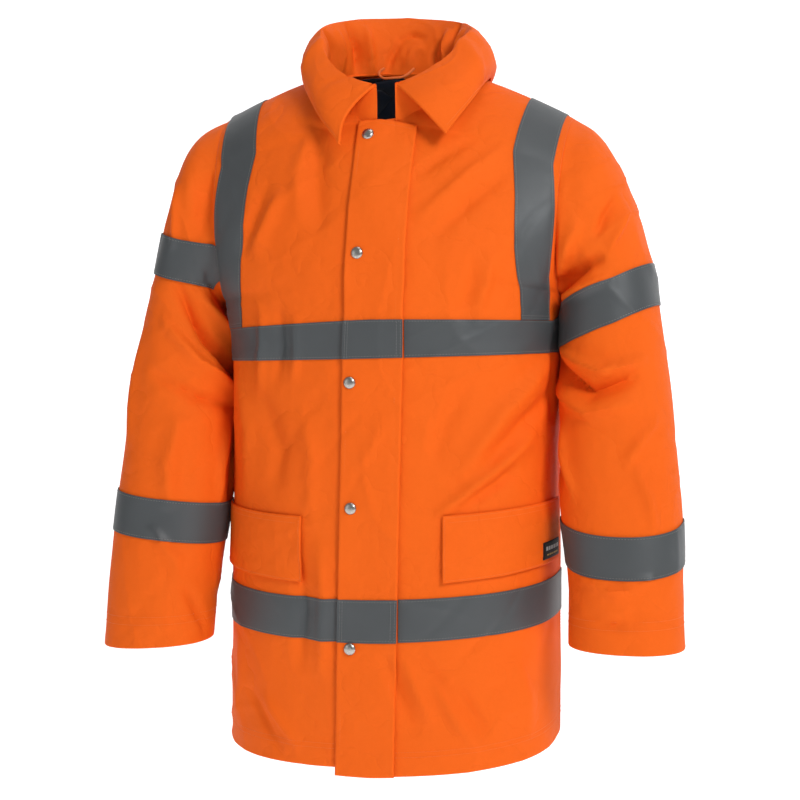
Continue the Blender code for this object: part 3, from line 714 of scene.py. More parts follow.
@dataclass(frozen=True)
class Sock:
    """A socket of a material's node tree, or a number, with the maths that makes Math nodes."""

    tree: bpy.types.NodeTree
    value: bpy.types.NodeSocket | float

    def math(self, operation: str, other: Sock | float = 0.0, turned: bool = False) -> Sock:
        """This value and another through one Math node; turned swaps the two."""
        node = self.tree.nodes.new("ShaderNodeMath")
        node.operation = operation
        pair = [self.value, other.value if isinstance(other, Sock) else other]
        for slot, value in zip(node.inputs, reversed(pair) if turned else pair):
            if isinstance(value, bpy.types.NodeSocket):
                self.tree.links.new(value, slot)
            else:
                slot.default_value = value
        return Sock(self.tree, node.outputs[0])

    def __add__(self, other: Sock | float) -> Sock:
        """The sum."""
        return self.math("ADD", other)

    __radd__ = __add__

    def __mul__(self, other: Sock | float) -> Sock:
        """The product."""
        return self.math("MULTIPLY", other)

    __rmul__ = __mul__

    def __sub__(self, other: Sock | float) -> Sock:
        """The difference."""
        return self.math("SUBTRACT", other)

    def __rsub__(self, other: Sock | float) -> Sock:
        """The difference, turned round."""
        return self.math("SUBTRACT", other, turned=True)

    def sine(self) -> Sock:
        """The sine of this value in radians."""
        return self.math("SINE")

    def power(self, other: float) -> Sock:
        """This value to a power."""
        return self.math("POWER", other)

    def absolute(self) -> Sock:
        """The size of this value."""
        return self.math("ABSOLUTE")


class Paint:
    """A material under construction, with its tree and its Principled shader."""

    def __init__(self, name: str, roughness: float, metallic: float = 0.0, sheen: float = 0.0) -> None:
        """Makes the material with its constant shader values."""
        self.material = bpy.data.materials.new(name)
        self.material.use_nodes = True
        self.tree = self.material.node_tree
        self.shader = self.tree.nodes["Principled BSDF"]
        self.shader.inputs["Roughness"].default_value = roughness
        self.shader.inputs["Metallic"].default_value = metallic
        self.shader.inputs["Specular IOR Level"].default_value = 0.5 if metallic else 0.20
        self.shader.inputs["Sheen Weight"].default_value = sheen
        self.shader.inputs["Sheen Roughness"].default_value = 0.45

    def node(self, kind: str, settings: dict | None = None, **values: object) -> bpy.types.Node:
        """Makes a node: its type, its settings first, and then the values or links of its sockets.

        Args:
            kind: the node's type.
            settings: attributes set before the sockets; "stops" holds a ramp's (place, colour) pairs.
            values: socket names, with underscores for spaces, and a Sock or a plain value for each.

        Returns:
            The new node.
        """
        made = self.tree.nodes.new(kind)
        for key, value in (settings or {}).items():
            if key == "stops":
                while len(made.color_ramp.elements) < len(value):
                    made.color_ramp.elements.new(0.5)
                for element, (place, colour) in zip(made.color_ramp.elements, value):
                    element.position, element.color = place, (*colour, 1.0)
            else:
                setattr(made, key, value)
        for key, value in values.items():
            slot = made.inputs[key.replace("_", " ")]
            if isinstance(value, Sock):
                self.tree.links.new(value.value, slot)
            else:
                slot.default_value = value
        return made

    def out(self, node: bpy.types.Node, name: str | int = 0) -> Sock:
        """An output of a node."""
        return Sock(self.tree, node.outputs[name])

    def place(self) -> Sock:
        """Object coordinates, in metres."""
        return self.out(self.node("ShaderNodeTexCoord"), "Object")

    def cloth_axes(self) -> tuple[Sock, Sock]:
        """The two directions of the cloth, in metres along the piece's own map."""
        split = self.node("ShaderNodeSeparateXYZ", Vector=self.out(self.node("ShaderNodeTexCoord"), "UV"))
        return self.out(split, 0), self.out(split, 1)

    def noise(self, scale: float, detail: float = 2.0, where: Sock | None = None) -> Sock:
        """Noise from 0 to 1 at a scale in cells per metre."""
        node = self.node("ShaderNodeTexNoise", Vector=where or self.place(), Scale=scale, Detail=detail)
        return self.out(node, 0)

    def mix(self, share: Sock | float, first: object, second: object) -> Sock:
        """Two colours mixed by a share."""
        node = self.node("ShaderNodeMix", {"data_type": "RGBA"})
        slots = {slot.identifier: slot for slot in node.inputs}
        for key, value in (("Factor_Float", share), ("A_Color", first), ("B_Color", second)):
            if isinstance(value, Sock):
                self.tree.links.new(value.value, slots[key])
            else:
                slots[key].default_value = value if isinstance(value, float) else (*value, 1.0)
        return Sock(self.tree, next(slot for slot in node.outputs if slot.identifier == "Result_Color"))

    def feed(self, name: str, value: Sock) -> None:
        """Links a value to one of the shader's sockets."""
        self.tree.links.new(value.value, self.shader.inputs[name])

    def bump(self, height: Sock, distance: float, strength: float = 1.0) -> None:
        """Gives the shader a bump of a height in the range 0 to 1 and a distance in metres."""
        node = self.node("ShaderNodeBump", Height=height, Distance=distance, Strength=strength)
        self.feed("Normal", self.out(node, "Normal"))


def tinted(colour: tuple[float, float, float], share: float) -> tuple[float, float, float]:
    """A colour made lighter or darker by a share."""
    return tuple(channel * share for channel in colour)


@dataclass(frozen=True)
class ShellCloth:
    """Coated woven polyester in fluorescent orange: a fine plain weave under a smooth proofed face."""

    name: str = "shell_cloth"
    colour: tuple[float, float, float] = (0.940, 0.149, 0.0115)
    deep: tuple[float, float, float] = (0.850, 0.112, 0.0080)
    threads_per_metre: float = 1500.0
    weave_depth: float = 0.00010
    crumple_depth: float = 0.0034
    roughness: float = 0.62
    ior: float = 1.28

    def make(self) -> bpy.types.Material:
        """The material."""
        paint = Paint(self.name, self.roughness)
        paint.shader.inputs["IOR"].default_value = self.ior
        along, up = paint.cloth_axes()
        angle = math.pi * self.threads_per_metre
        weave = (along * angle).sine().absolute() * (up * angle).sine().absolute()
        cloudy = paint.noise(7.0, 3.0)
        fine = paint.noise(420.0, 2.0)
        base = paint.mix(cloudy * 0.55, self.colour, self.deep)
        base = paint.mix(fine * 0.20, base, tinted(self.deep, 0.85))
        paint.feed("Base Color", paint.mix((1.0 - weave) * 0.10, base, tinted(self.deep, 0.7)))
        paint.feed("Roughness", self.roughness + (fine - 0.5) * 0.10 + (cloudy - 0.5) * 0.08)
        crumple = paint.noise(30.0, 4.0)
        creased = ((paint.noise(13.0, 3.0) - 0.5).absolute() * 2.0).power(0.6)
        ratio = self.weave_depth / self.crumple_depth
        paint.bump(crumple * 0.45 + creased + weave * ratio, self.crumple_depth, 0.85)
        return paint.material


@dataclass(frozen=True)
class TapeCloth:
    """Silver-grey reflective tape: a cloth face crowded with glass beads, a little cloudy and scuffed."""

    name: str = "reflective_tape"
    colour: tuple[float, float, float] = (0.066, 0.073, 0.078)
    scuffed: tuple[float, float, float] = (0.052, 0.056, 0.058)
    beads_per_metre: float = 2600.0
    ribs_per_metre: float = 900.0
    roughness: float = 0.46

    def make(self) -> bpy.types.Material:
        """The material."""
        paint = Paint(self.name, self.roughness, metallic=0.15, sheen=0.04)
        beads = paint.node(
            "ShaderNodeTexVoronoi", Vector=paint.place(), Scale=self.beads_per_metre, Randomness=0.8
        )
        bead = paint.out(beads, "Distance")
        along, up = paint.cloth_axes()
        angle = math.pi * self.ribs_per_metre
        ribs = ((along * angle).sine().absolute() + (up * angle).sine().absolute()) * 0.5
        cloudy = paint.noise(16.0, 4.0)
        base = paint.mix(cloudy, self.colour, self.scuffed)
        paint.feed("Base Color", paint.mix(bead * 0.30 + ribs * 0.10, base, tinted(self.colour, 1.45)))
        paint.feed("Roughness", self.roughness + (cloudy - 0.5) * 0.16 + bead * 0.10)
        paint.bump(paint.noise(55.0, 3.0) + bead * 0.10 + ribs * 0.12, 0.0006, 0.6)
        return paint.material


@dataclass(frozen=True)
class LiningCloth:
    """Navy lining of quilted satin: diamond channels with painted shade in them and a painted highlight on
    the puffs, and a soft gloss.
    """

    name: str = "lining_cloth"
    colour: tuple[float, float, float] = (0.0032, 0.0065, 0.0130)
    # the lighter navy: a painted highlight on the puffs, which leaves painted shade in the channels; the
    # noise also mixes it in as uneven tone
    light: tuple[float, float, float] = (0.0070, 0.0125, 0.0230)
    diamond: float = 0.050

    def make(self) -> bpy.types.Material:
        """The material."""
        paint = Paint(self.name, 0.48, sheen=0.15)
        along, up = paint.cloth_axes()
        turn = math.pi / self.diamond
        first = ((along + up) * turn).sine().absolute()
        second = ((along - up) * turn).sine().absolute()
        puff_relief_and_shade = (first * second).power(0.45)
        # painted highlight on the puffs and painted shade in the channels, with noise for uneven tone
        paint.feed("Base Color", paint.mix(puff_relief_and_shade * 0.6 + paint.noise(300.0) * 0.3, self.colour, self.light))
        paint.feed("Roughness", 0.42 + paint.noise(60.0, 3.0) * 0.16)
        paint.bump(puff_relief_and_shade, 0.0030, 0.9)
        return paint.material


@dataclass(frozen=True)
class Yarn:
    """Sewing thread with a twist, in its own shade."""

    name: str
    colour: tuple[float, float, float]

    def make(self) -> bpy.types.Material:
        """The material."""
        paint = Paint(self.name, 0.55, sheen=0.2)
        place = paint.node("ShaderNodeSeparateXYZ", Vector=paint.place())
        total = paint.out(place, 0) + paint.out(place, 1) + paint.out(place, 2)
        twist = (total * (math.tau * 1800.0)).sine() * 0.5 + 0.5
        paint.feed("Base Color", paint.mix(twist * 0.5, self.colour, tinted(self.colour, 0.62)))
        paint.bump(twist, 0.00012, 0.7)
        return paint.material


@dataclass(frozen=True)
class StudMetal:
    """Nickel-plated brass of the press studs, with small scratches and patches of wear."""

    name: str = "stud_metal"
    colour: tuple[float, float, float] = (0.52, 0.50, 0.47)

    def make(self) -> bpy.types.Material:
        """The material."""
        paint = Paint(self.name, 0.24, metallic=1.0)
        worn = paint.noise(260.0, 4.0)
        scratch = paint.noise(1400.0, 3.0)
        paint.feed("Base Color", paint.mix(worn * 0.6, self.colour, tinted(self.colour, 0.55)))
        paint.feed("Roughness", 0.17 + worn * 0.16 + scratch * 0.06)
        paint.bump(scratch + worn, 0.00012, 0.5)
        return paint.material


@dataclass(frozen=True)
class WovenLabel:
    """A woven label's ground or its raised threads, in one shade."""

    name: str
    colour: tuple[float, float, float]

    def make(self) -> bpy.types.Material:
        """The material."""
        paint = Paint(self.name, 0.62, sheen=0.1)
        place = paint.node("ShaderNodeSeparateXYZ", Vector=paint.place())
        rows = (paint.out(place, 2) * (math.tau * 2200.0)).sine() * 0.5 + 0.5
        paint.feed("Base Color", paint.mix(rows * 0.4, self.colour, tinted(self.colour, 0.6)))
        paint.feed("Roughness", 0.55 + paint.noise(900.0) * 0.2)
        paint.bump(rows, 0.0001, 0.6)
        return paint.material


def stops(low: float, high: float, length: float, pitch: float, edges: bool = True) -> Array:
    """Values from low to high at an even pitch along a length, with closer ones beside both ends.

    Args:
        low: the first value.
        high: the last value.
        length: the length that they run over, in metres.
        pitch: the even spacing, in metres.
        edges: whether closer values are added at 1, 2 and 3.5 mm from the ends.

    Returns:
        The values in order.
    """
    count = max(int(round(length / pitch)), 2)
    places = set(np.linspace(0.0, 1.0, count + 1))
    if edges:
        near = [size / length for size in (0.0010, 0.0020, 0.0035)]
        clear = 0.0042 / length
        places = {place for place in places if clear < place < 1.0 - clear} | {0.0, 1.0}
        places |= set(near) | {1.0 - place for place in near}
    return low + (high - low) * np.array(sorted(places))


def run_lengths(points: Array, axis: int) -> Array:
    """The distance run along an axis of a grid of points."""
    steps = np.linalg.norm(np.diff(points, axis=axis), axis=-1)
    start = np.zeros_like(np.take(steps, [0], axis=axis))
    return np.cumsum(np.concatenate([start, steps], axis=axis), axis=axis)


@dataclass(frozen=True)
class Patch:
    """A stretch of cloth: its surface and the places of its columns and rows."""

    surface: Surface
    firsts: Array
    seconds: Array


@dataclass(frozen=True)
class Wall:
    """How a cloth wall is made from its patches: its layer, its thickness and its stitched margins.

    margins are the distances from the border of rows of stitching, which sink the cloth a little. relief
    adds a height of its own over (columns, rows).
    """

    lift: float
    thickness: float
    ring: bool = False
    margins: tuple[float, ...] = ()
    sink: float = 0.0005
    roll: float = 0.42
    relief: Callable[[Array, Array], Array] | None = None


class Sewing:
    """Makes walls and threads, hides the CAD nodes that they stand for, and counts what it has made."""

    def __init__(self) -> None:
        """Starts with no pieces."""
        self.faces = 0

    def grow(self, shape: bmesh.types.BMesh, patch: Patch, wall: Wall, layers: tuple) -> Array:
        """Adds a patch to a shape as a grid on the wall's inner face, its outer face kept in a layer.

        Args:
            shape: the bmesh that it is added to.
            patch: the stretch of cloth.
            wall: the wall's measures.
            layers: the outer face's vertex layer and the cloth's map.

        Returns:
            The points of the surface.
        """
        far, map_layer = layers
        points, normals = patch.surface(patch.firsts, patch.seconds)
        across, along = run_lengths(points, 1), run_lengths(points, 0)
        border = np.minimum(along, along[-1:] - along)
        if not wall.ring:
            border = np.minimum(border, np.minimum(across, across[:, -1:] - across))
        top = wall.lift + wall.thickness * (1.0 - wall.roll * np.clip(1.0 - border / 0.0022, 0.0, 1.0) ** 2)
        for margin in wall.margins:
            top = top - wall.sink * np.exp(-(((border - margin) / 0.0011) ** 2))
        bottom = np.full_like(top, wall.lift)
        if wall.relief is not None:
            rise = wall.relief(*np.meshgrid(patch.firsts, patch.seconds))
            top, bottom = top + rise, bottom + rise
        inner = points + normals * bottom[..., None]
        outer = points + normals * top[..., None]
        columns, rows = len(patch.firsts) - 1, len(patch.seconds) - 1
        made = bmesh.ops.create_grid(shape, x_segments=columns, y_segments=rows, size=0.5)
        place = {}
        for vert in made["verts"]:
            spot = (round((vert.co.y + 0.5) * rows), round((vert.co.x + 0.5) * columns))
            place[vert] = spot
            vert.co = inner[spot]
            vert[far] = outer[spot]
        for face in {face for vert in made["verts"] for face in vert.link_faces}:
            for loop in face.loops:
                spot = place[loop.vert]
                loop[map_layer].uv = (across[spot], along[spot])
        return points

    def wall(
        self, name: str, patches: Sequence[Patch], wall: Wall, finish: bpy.types.Material
    ) -> bpy.types.Object:
        """A closed wall of cloth from its patches, which are joined where they meet.

        Args:
            name: the piece's name.
            patches: the stretches of cloth.
            wall: the wall's measures.
            finish: the material.

        Returns:
            The finished piece, riding on the coat.
        """
        shape = bmesh.new()
        layers = (shape.verts.layers.float_vector.new("far"), shape.loops.layers.uv.new("cloth"))
        grids = [self.grow(shape, patch, wall, layers) for patch in patches]
        if wall.ring or len(patches) > 1:
            bmesh.ops.remove_doubles(shape, verts=shape.verts[:], dist=0.0001)
        made = bmesh.ops.extrude_face_region(shape, geom=shape.faces[:], use_keep_orig=True)
        for item in made["geom"]:
            if isinstance(item, bmesh.types.BMVert):
                item.co = item[layers[0]]
        piece = self.finish(shape, name, finish)
        piece["cut_width"] = max(float(run_lengths(grid, 1)[:, -1].max()) for grid in grids)
        piece["cut_width"] *= len(grids)
        piece["cut_length"] = max(float(run_lengths(grid, 0)[-1].max()) for grid in grids)
        piece["cut_area"] = sum(self.area(grid) for grid in grids)
        return piece

    @staticmethod
    def area(grid: Array) -> float:
        """The area of a grid of points."""
        first = grid[1:, 1:] - grid[:-1, :-1]
        second = grid[1:, :-1] - grid[:-1, 1:]
        return float(np.linalg.norm(np.cross(first, second), axis=-1).sum() / 2.0)

    def finish(self, shape: bmesh.types.BMesh, name: str, finish: bpy.types.Material) -> bpy.types.Object:
        """Turns a bmesh into a smooth, outward-facing piece that rides on the coat."""
        bmesh.ops.recalc_face_normals(shape, faces=shape.faces[:])
        mesh = bpy.data.meshes.new(name)
        shape.to_mesh(mesh)
        shape.free()
        mesh.shade_smooth()
        mesh.set_sharp_from_angle(angle=math.radians(62.0))
        mesh.materials.append(finish)
        piece = bpy.data.objects.new(name, mesh)
        bpy.context.scene.collection.objects.link(piece)
        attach(piece, BODY)
        self.faces += len(mesh.polygons)
        log.info("%s: %d faces", name, len(mesh.polygons))
        return piece

    def declare(
        self, piece: bpy.types.Object, node: str, slot: str, held: Held, rests_on: Sequence[str] = ()
    ) -> None:
        """Hides the CAD node that a sheet stands for, and clears the cut measures kept on the piece."""
        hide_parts(node)
        width, length, area = (float(piece[key]) for key in ("cut_width", "cut_length", "cut_area"))
        area = min(area, width * length)
        for key in ("cut_width", "cut_length", "cut_area"):
            del piece[key]

    def threads(self, name: str, runs: Sequence[tuple[Array, Array]], finish: bpy.types.Material, slot: str,
                pitch: float = 0.0036, size: tuple[float, float] = (0.0013, 0.00034)) -> bpy.types.Object:
        """Rows of stitches along runs of (points, normals), each stitch a small bulging stretch of thread.

        Args:
            name: the piece's name.
            runs: the lines that the stitching follows.
            finish: the yarn's material.
            slot: not used.
            pitch: the distance between stitches.
            size: half a stitch's length and half its thickness.

        Returns:
            The finished piece.
        """
        shape = bmesh.new()
        for points, normals in runs:
            along = run_lengths(points, 0)
            for place in np.arange(pitch / 2.0, along[-1], pitch):
                spots = ((place, points), (place - 0.001, points), (place + 0.001, points), (place, normals))
                centre, behind, ahead, normal = (
                    Vector([float(np.interp(spot, along, line[:, axis])) for axis in range(3)])
                    for spot, line in spots
                )
                lengthways = (ahead - behind).normalized()
                normal = (normal - lengthways * normal.dot(lengthways)).normalized()
                sideways = normal.cross(lengthways)
                turn = Matrix((lengthways * size[0], sideways * size[1], normal * size[1])).transposed()
                matrix = Matrix.Translation(centre) @ turn.to_4x4()
                bmesh.ops.create_icosphere(shape, subdivisions=1, radius=1.0, matrix=matrix)
        piece = self.finish(shape, name, finish)
        return piece


def run_on(
    surface: Surface, firsts: Array | float, seconds: Array | float, lift: float
) -> tuple[Array, Array]:
    """A line on a surface, raised by lift: one of firsts and seconds is a single value."""
    points, normals = surface(np.atleast_1d(firsts), np.atleast_1d(seconds))
    points, normals = points.reshape(-1, 3), normals.reshape(-1, 3)
    return points + normals * lift, normals


@dataclass(frozen=True)
class Finishes:
    """Every material of the coat, made once."""

    shell: bpy.types.Material
    tape: bpy.types.Material
    lining: bpy.types.Material
    metal: bpy.types.Material
    orange_yarn: bpy.types.Material
    grey_yarn: bpy.types.Material
    label_ground: bpy.types.Material
    label_light: bpy.types.Material
    label_yellow: bpy.types.Material

    @staticmethod
    def make() -> Finishes:
        """All of the materials."""
        return Finishes(
            ShellCloth().make(),
            TapeCloth().make(),
            LiningCloth().make(),
            StudMetal().make(),
            Yarn("orange_yarn", (0.97, 0.205, 0.040)).make(),
            Yarn("grey_yarn", (0.24, 0.235, 0.225)).make(),
            WovenLabel("label_ground", (0.007, 0.007, 0.007)).make(),
            WovenLabel("label_light", (0.52, 0.52, 0.50)).make(),
            WovenLabel("label_yellow", (0.55, 0.42, 0.12)).make(),
        )


@dataclass
class Coat:
    """What every sub-assembly shares: the forms, the finishes and the sewing."""

    body: BodyForm
    sleeves: dict[int, SleeveForm]
    finishes: Finishes
    sewing: Sewing
    pitch: float = 0.0042
    cloth: float = 0.0025
    armhole_height: float = 0.335

    def levels(self, low: float, high: float, pitch: float) -> Array:
        """Levels from low to high, evenly spaced up the cloth, closer beside the ends."""
        middle = min(max(0.0, low), high)
        below = (middle - low) * (self.body.underarm_z - self.body.hem_z)
        above = (high - middle) * self.armhole_height
        both = []
        if below > 0.0:
            both.append(stops(low, middle, below, pitch))
        if above > 0.0:
            both.append(stops(middle, high, above, pitch))
        return np.unique(np.concatenate(both))


@dataclass
class Panels:
    """The fronts, the back and the lining behind them."""

    coat: Coat
    row_length: float = 0.27
    lining_depth: float = 0.0095
    lining_cloth: float = 0.0012
    lining_pitch: float = 0.010
    lining_levels: tuple[float, float] = (-0.95, 1.0)
    lining_rise: float = 0.0062
    lining_tuck: float = 0.010
    lining_last: float = 0.95
    hem_margins: tuple[float, float] = (0.0230, 0.0290)

    def patch(self, face: Face, side: int, levels: Array, last: float, pitch: float) -> Patch:
        """Half of a front or a back."""
        columns = stops(0.0, last, self.row_length, pitch)
        if face is Face.BACK:
            near = columns > 0.0040 / self.row_length
            columns = np.concatenate([[0.0], columns[near]])
        return Patch(self.coat.body.half(face, side), columns, levels)

    def build(self) -> None:
        """The shell panels and the lining panels."""
        coat = self.coat
        levels = coat.levels(-1.0, 1.0, coat.pitch)
        wall = Wall(-coat.cloth, coat.cloth, roll=0.2)
        for side, name in SIDE_NAMES.items():
            patch = self.patch(Face.FRONT, side, levels, 1.0, coat.pitch)
            piece = coat.sewing.wall(f"{name}_front_cloth", [patch], wall, coat.finishes.shell)
            coat.sewing.declare(piece, f"{name}_front", "shell_cloth", Held.HUNG)
        halves = [self.patch(Face.BACK, side, levels, 1.0, coat.pitch) for side in SIDE_NAMES]
        piece = coat.sewing.wall("back_cloth", halves, wall, coat.finishes.shell)
        coat.sewing.declare(piece, "back", "shell_cloth", Held.HUNG)
        self.line()
        self.stitch()

    def line(self) -> None:
        """The lining: two fronts and a back."""
        coat = self.coat
        levels = coat.levels(*self.lining_levels, self.lining_pitch)
        wall = Wall(-self.lining_depth, self.lining_cloth, relief=self.rise)
        for side, name in SIDE_NAMES.items():
            patch = self.patch(Face.FRONT, side, levels, self.lining_last, self.lining_pitch)
            piece = coat.sewing.wall(f"{name}_lining_cloth", [patch], wall, coat.finishes.lining)
            coat.sewing.declare(piece, f"lining_{name}", "lining_cloth", Held.HUNG)
        halves = [
            self.patch(Face.BACK, side, levels, self.lining_last, self.lining_pitch) for side in SIDE_NAMES
        ]
        piece = coat.sewing.wall("back_lining_cloth", halves, wall, coat.finishes.lining)
        coat.sewing.declare(piece, "lining_back", "lining_cloth", Held.HUNG)

    def rise(self, columns: Array, levels: Array) -> Array:
        """The lining comes up to the shell round the neck, and lies deeper beside the armholes."""
        rise = self.lining_rise * smooth(levels, 0.80, 0.98) * (1.0 - smooth(np.abs(columns), 0.70, 0.94))
        return rise - self.lining_tuck * smooth(np.abs(columns), 0.78, 0.95) * smooth(levels, -0.1, 0.2)

    def stitch(self) -> None:
        """Two rows of stitching round the hem, and one beside each armhole and side seam."""
        body = self.coat.body
        runs = []
        for face in Face:
            for side in SIDE_NAMES:
                surface = body.half(face, side)
                for margin in self.hem_margins:
                    level = body.level_of(body.hem_z + margin)
                    runs.append(run_on(surface, np.linspace(0.02, 0.985, 90), level, THREAD_RISE))
                runs.append(run_on(surface, 0.982, np.linspace(-0.95, -0.03, 160), THREAD_RISE))
                runs.append(run_on(surface, 0.972, np.linspace(0.03, 0.93, 90), THREAD_RISE))
                runs.append(run_on(surface, np.linspace(0.06, 0.96, 60), 0.975, THREAD_RISE))
        self.coat.sewing.threads("panel_stitching", runs, self.coat.finishes.orange_yarn, "shell_cloth")


@dataclass
class Sleeve:
    """One sleeve, its cuff stitching and its two tapes."""

    coat: Coat
    form: SleeveForm
    bands: dict[str, tuple[float, float, float, float]]
    cut_band: str | None = None
    cut_reach: float = 2.356
    girth: float = 0.49
    length: float = 0.64
    tape_width: float = 0.050
    tape_cloth: float = 0.0010
    tape_lift: float = 0.0008
    cut_lift: float = 0.0014
    cuff_margin: float = 0.40

    def build(self) -> None:
        """The sleeve, its tapes and its stitching."""
        coat, name = self.coat, SIDE_NAMES[self.form.side]
        turns = np.linspace(0.0, math.tau, int(self.girth / coat.pitch) + 1)
        positions = stops(0.0, self.form.last, self.length, coat.pitch)
        wall = Wall(-coat.cloth, coat.cloth, ring=True, roll=0.2)
        patch = Patch(self.form.surface, turns, positions)
        piece = coat.sewing.wall(f"{name}_sleeve_cloth", [patch], wall, coat.finishes.shell)
        coat.sewing.declare(piece, f"{name}_sleeve", "shell_cloth", Held.HUNG)
        runs = [
            run_on(self.form.surface, turns, self.form.last - self.cuff_margin - gap, THREAD_RISE)
            for gap in (0.0, 0.10)
        ]
        grey = []
        for part, measures in self.bands.items():
            band = self.form.band(*measures, self.tape_width)
            cut = part == self.cut_band
            round_it = np.linspace(-self.cut_reach, self.cut_reach, 96) if cut else turns
            lift = self.cut_lift if cut else self.tape_lift
            wall = Wall(lift, self.tape_cloth, ring=not cut, margins=(0.0025,), sink=0.0002, roll=0.12)
            patch = Patch(band, round_it, stops(0.0, 1.0, self.tape_width, 0.0035))
            piece = coat.sewing.wall(f"{name}_sleeve_{part}_tape", [patch], wall, coat.finishes.tape)
            node = f"sleeve_tape_{name}_{part}"
            coat.sewing.declare(piece, node, "reflective_tape", Held.STRETCHED, [f"{name}_sleeve_cloth"])
            for up in (0.05, 0.95):
                grey.append(run_on(band, round_it, up, lift + self.tape_cloth))
        coat.sewing.threads(f"{name}_sleeve_stitching", runs, coat.finishes.orange_yarn, "shell_cloth")
        coat.sewing.threads(f"{name}_sleeve_tape_stitching", grey, coat.finishes.grey_yarn, "reflective_tape")


@dataclass
class StormFlap:
    """The storm flap over the front opening, with its press studs."""

    coat: Coat
    top_level: float = 0.615
    free_top: float = -0.026
    free_drift: float = -0.0168
    top_z: float = -0.046
    fall: float = 0.784
    width: float = 0.072
    lift: float = 0.0022
    cloth: float = 0.0030
    tape_rise: float = 0.0015
    studs: tuple[tuple[float, float], ...] = (
        (-0.012, -0.071), (-0.0148, -0.213), (-0.0228, -0.366), (-0.022, -0.515), (-0.0232, -0.681),
    )
    stud_radius: float = 0.0075
    stud_height: float = 0.0032
    edge_margin: float = 0.0060
    seam_margins: tuple[float, float] = (0.0020, 0.0085)

    def free_edge(self, height: float) -> float:
        """The arc of the free edge at a height."""
        return self.free_top + self.free_drift * (self.top_z - height) / self.fall

    def surface(self, across: Array, levels: Array) -> tuple[Array, Array]:
        """The flap's surface over (share across, level)."""
        body = self.coat.body
        free = np.array([self.free_edge(float(body.centre(Face.FRONT, float(v))[2])) for v in levels])
        return body.on(Face.FRONT, free[:, None] + self.width * across[None, :], levels, one_hem=True)

    def wave(self, across: Array, levels: Array) -> Array:
        """The free edge stands off a little between the studs."""
        free = np.clip(1.0 - across / 0.5, 0.0, 1.0) ** 2
        return free * (0.0007 + 0.0006 * np.sin(levels * 9.0 + 0.7) + 0.0004 * np.sin(levels * 23.0))

    def build(self) -> None:
        """The flap, its stitching and its studs."""
        coat = self.coat
        across = stops(0.0, 1.0, self.width, 0.0036)
        levels = coat.levels(-1.0, self.top_level, coat.pitch)
        wall = Wall(self.lift, self.cloth, margins=(self.edge_margin,), sink=0.0007, relief=self.wave)
        patch = Patch(self.surface, across, levels)
        piece = coat.sewing.wall("storm_flap_cloth", [patch], wall, coat.finishes.shell)
        coat.sewing.declare(piece, "storm_flap", "shell_cloth", Held.HUNG)
        rise = self.lift + self.cloth - THREAD_SINK
        inside = levels[(levels > -0.99) & (levels < self.top_level - 0.012)]
        runs = [run_on(self.surface, self.edge_margin / self.width, inside, rise)]
        for margin in self.seam_margins:
            runs.append(run_on(self.surface, 1.0 - margin / self.width, inside, rise))
        runs.append(run_on(self.surface, np.linspace(0.06, 0.98, 40), self.top_level - 0.016, rise))
        coat.sewing.threads("flap_stitching", runs, coat.finishes.orange_yarn, "shell_cloth")
        for number, (arc, height) in enumerate(self.studs, 1):
            self.stud(number, arc, height)

    def stud(self, number: int, arc: float, height: float) -> None:
        """A domed press-stud cap on its washer, turned round its own axis."""
        level = self.coat.body.front_level(height)
        points, normals = self.coat.body.on(Face.FRONT, np.array([[arc]]), np.array([level]))
        normal = Vector(normals[0, 0])
        on_tape = self.tape_rise if number == len(self.studs) else 0.0
        rise = self.lift + self.cloth + 0.0004 + on_tape
        size, tall = self.stud_radius, self.stud_height
        profile = (
            (0.0, tall), (0.30, tall * 0.97), (0.58, tall * 0.86), (0.80, tall * 0.64), (0.93, tall * 0.34),
            (0.97, tall * 0.14), (0.90, tall * 0.08), (0.94, 0.0), (0.0, 0.0),
        )
        shape = bmesh.new()
        verts = [shape.verts.new((share * size, 0.0, up)) for share, up in profile]
        edges = [shape.edges.new(pair) for pair in zip(verts, verts[1:])]
        bmesh.ops.spin(
            shape, geom=verts + edges, cent=(0, 0, 0), axis=(0, 0, 1), angle=math.tau, steps=40,
            use_merge=True,
        )
        bmesh.ops.remove_doubles(shape, verts=shape.verts[:], dist=0.00002)
        matrix = Matrix.Translation(Vector(points[0, 0]) + normal * rise)
        bmesh.ops.transform(
            shape, matrix=matrix @ normal.to_track_quat("Z", "Y").to_matrix().to_4x4(), verts=shape.verts[:]
        )
        piece = self.coat.sewing.finish(shape, f"stud_cap_{number}", self.coat.finishes.metal)
        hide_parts(f"stud_{number}")


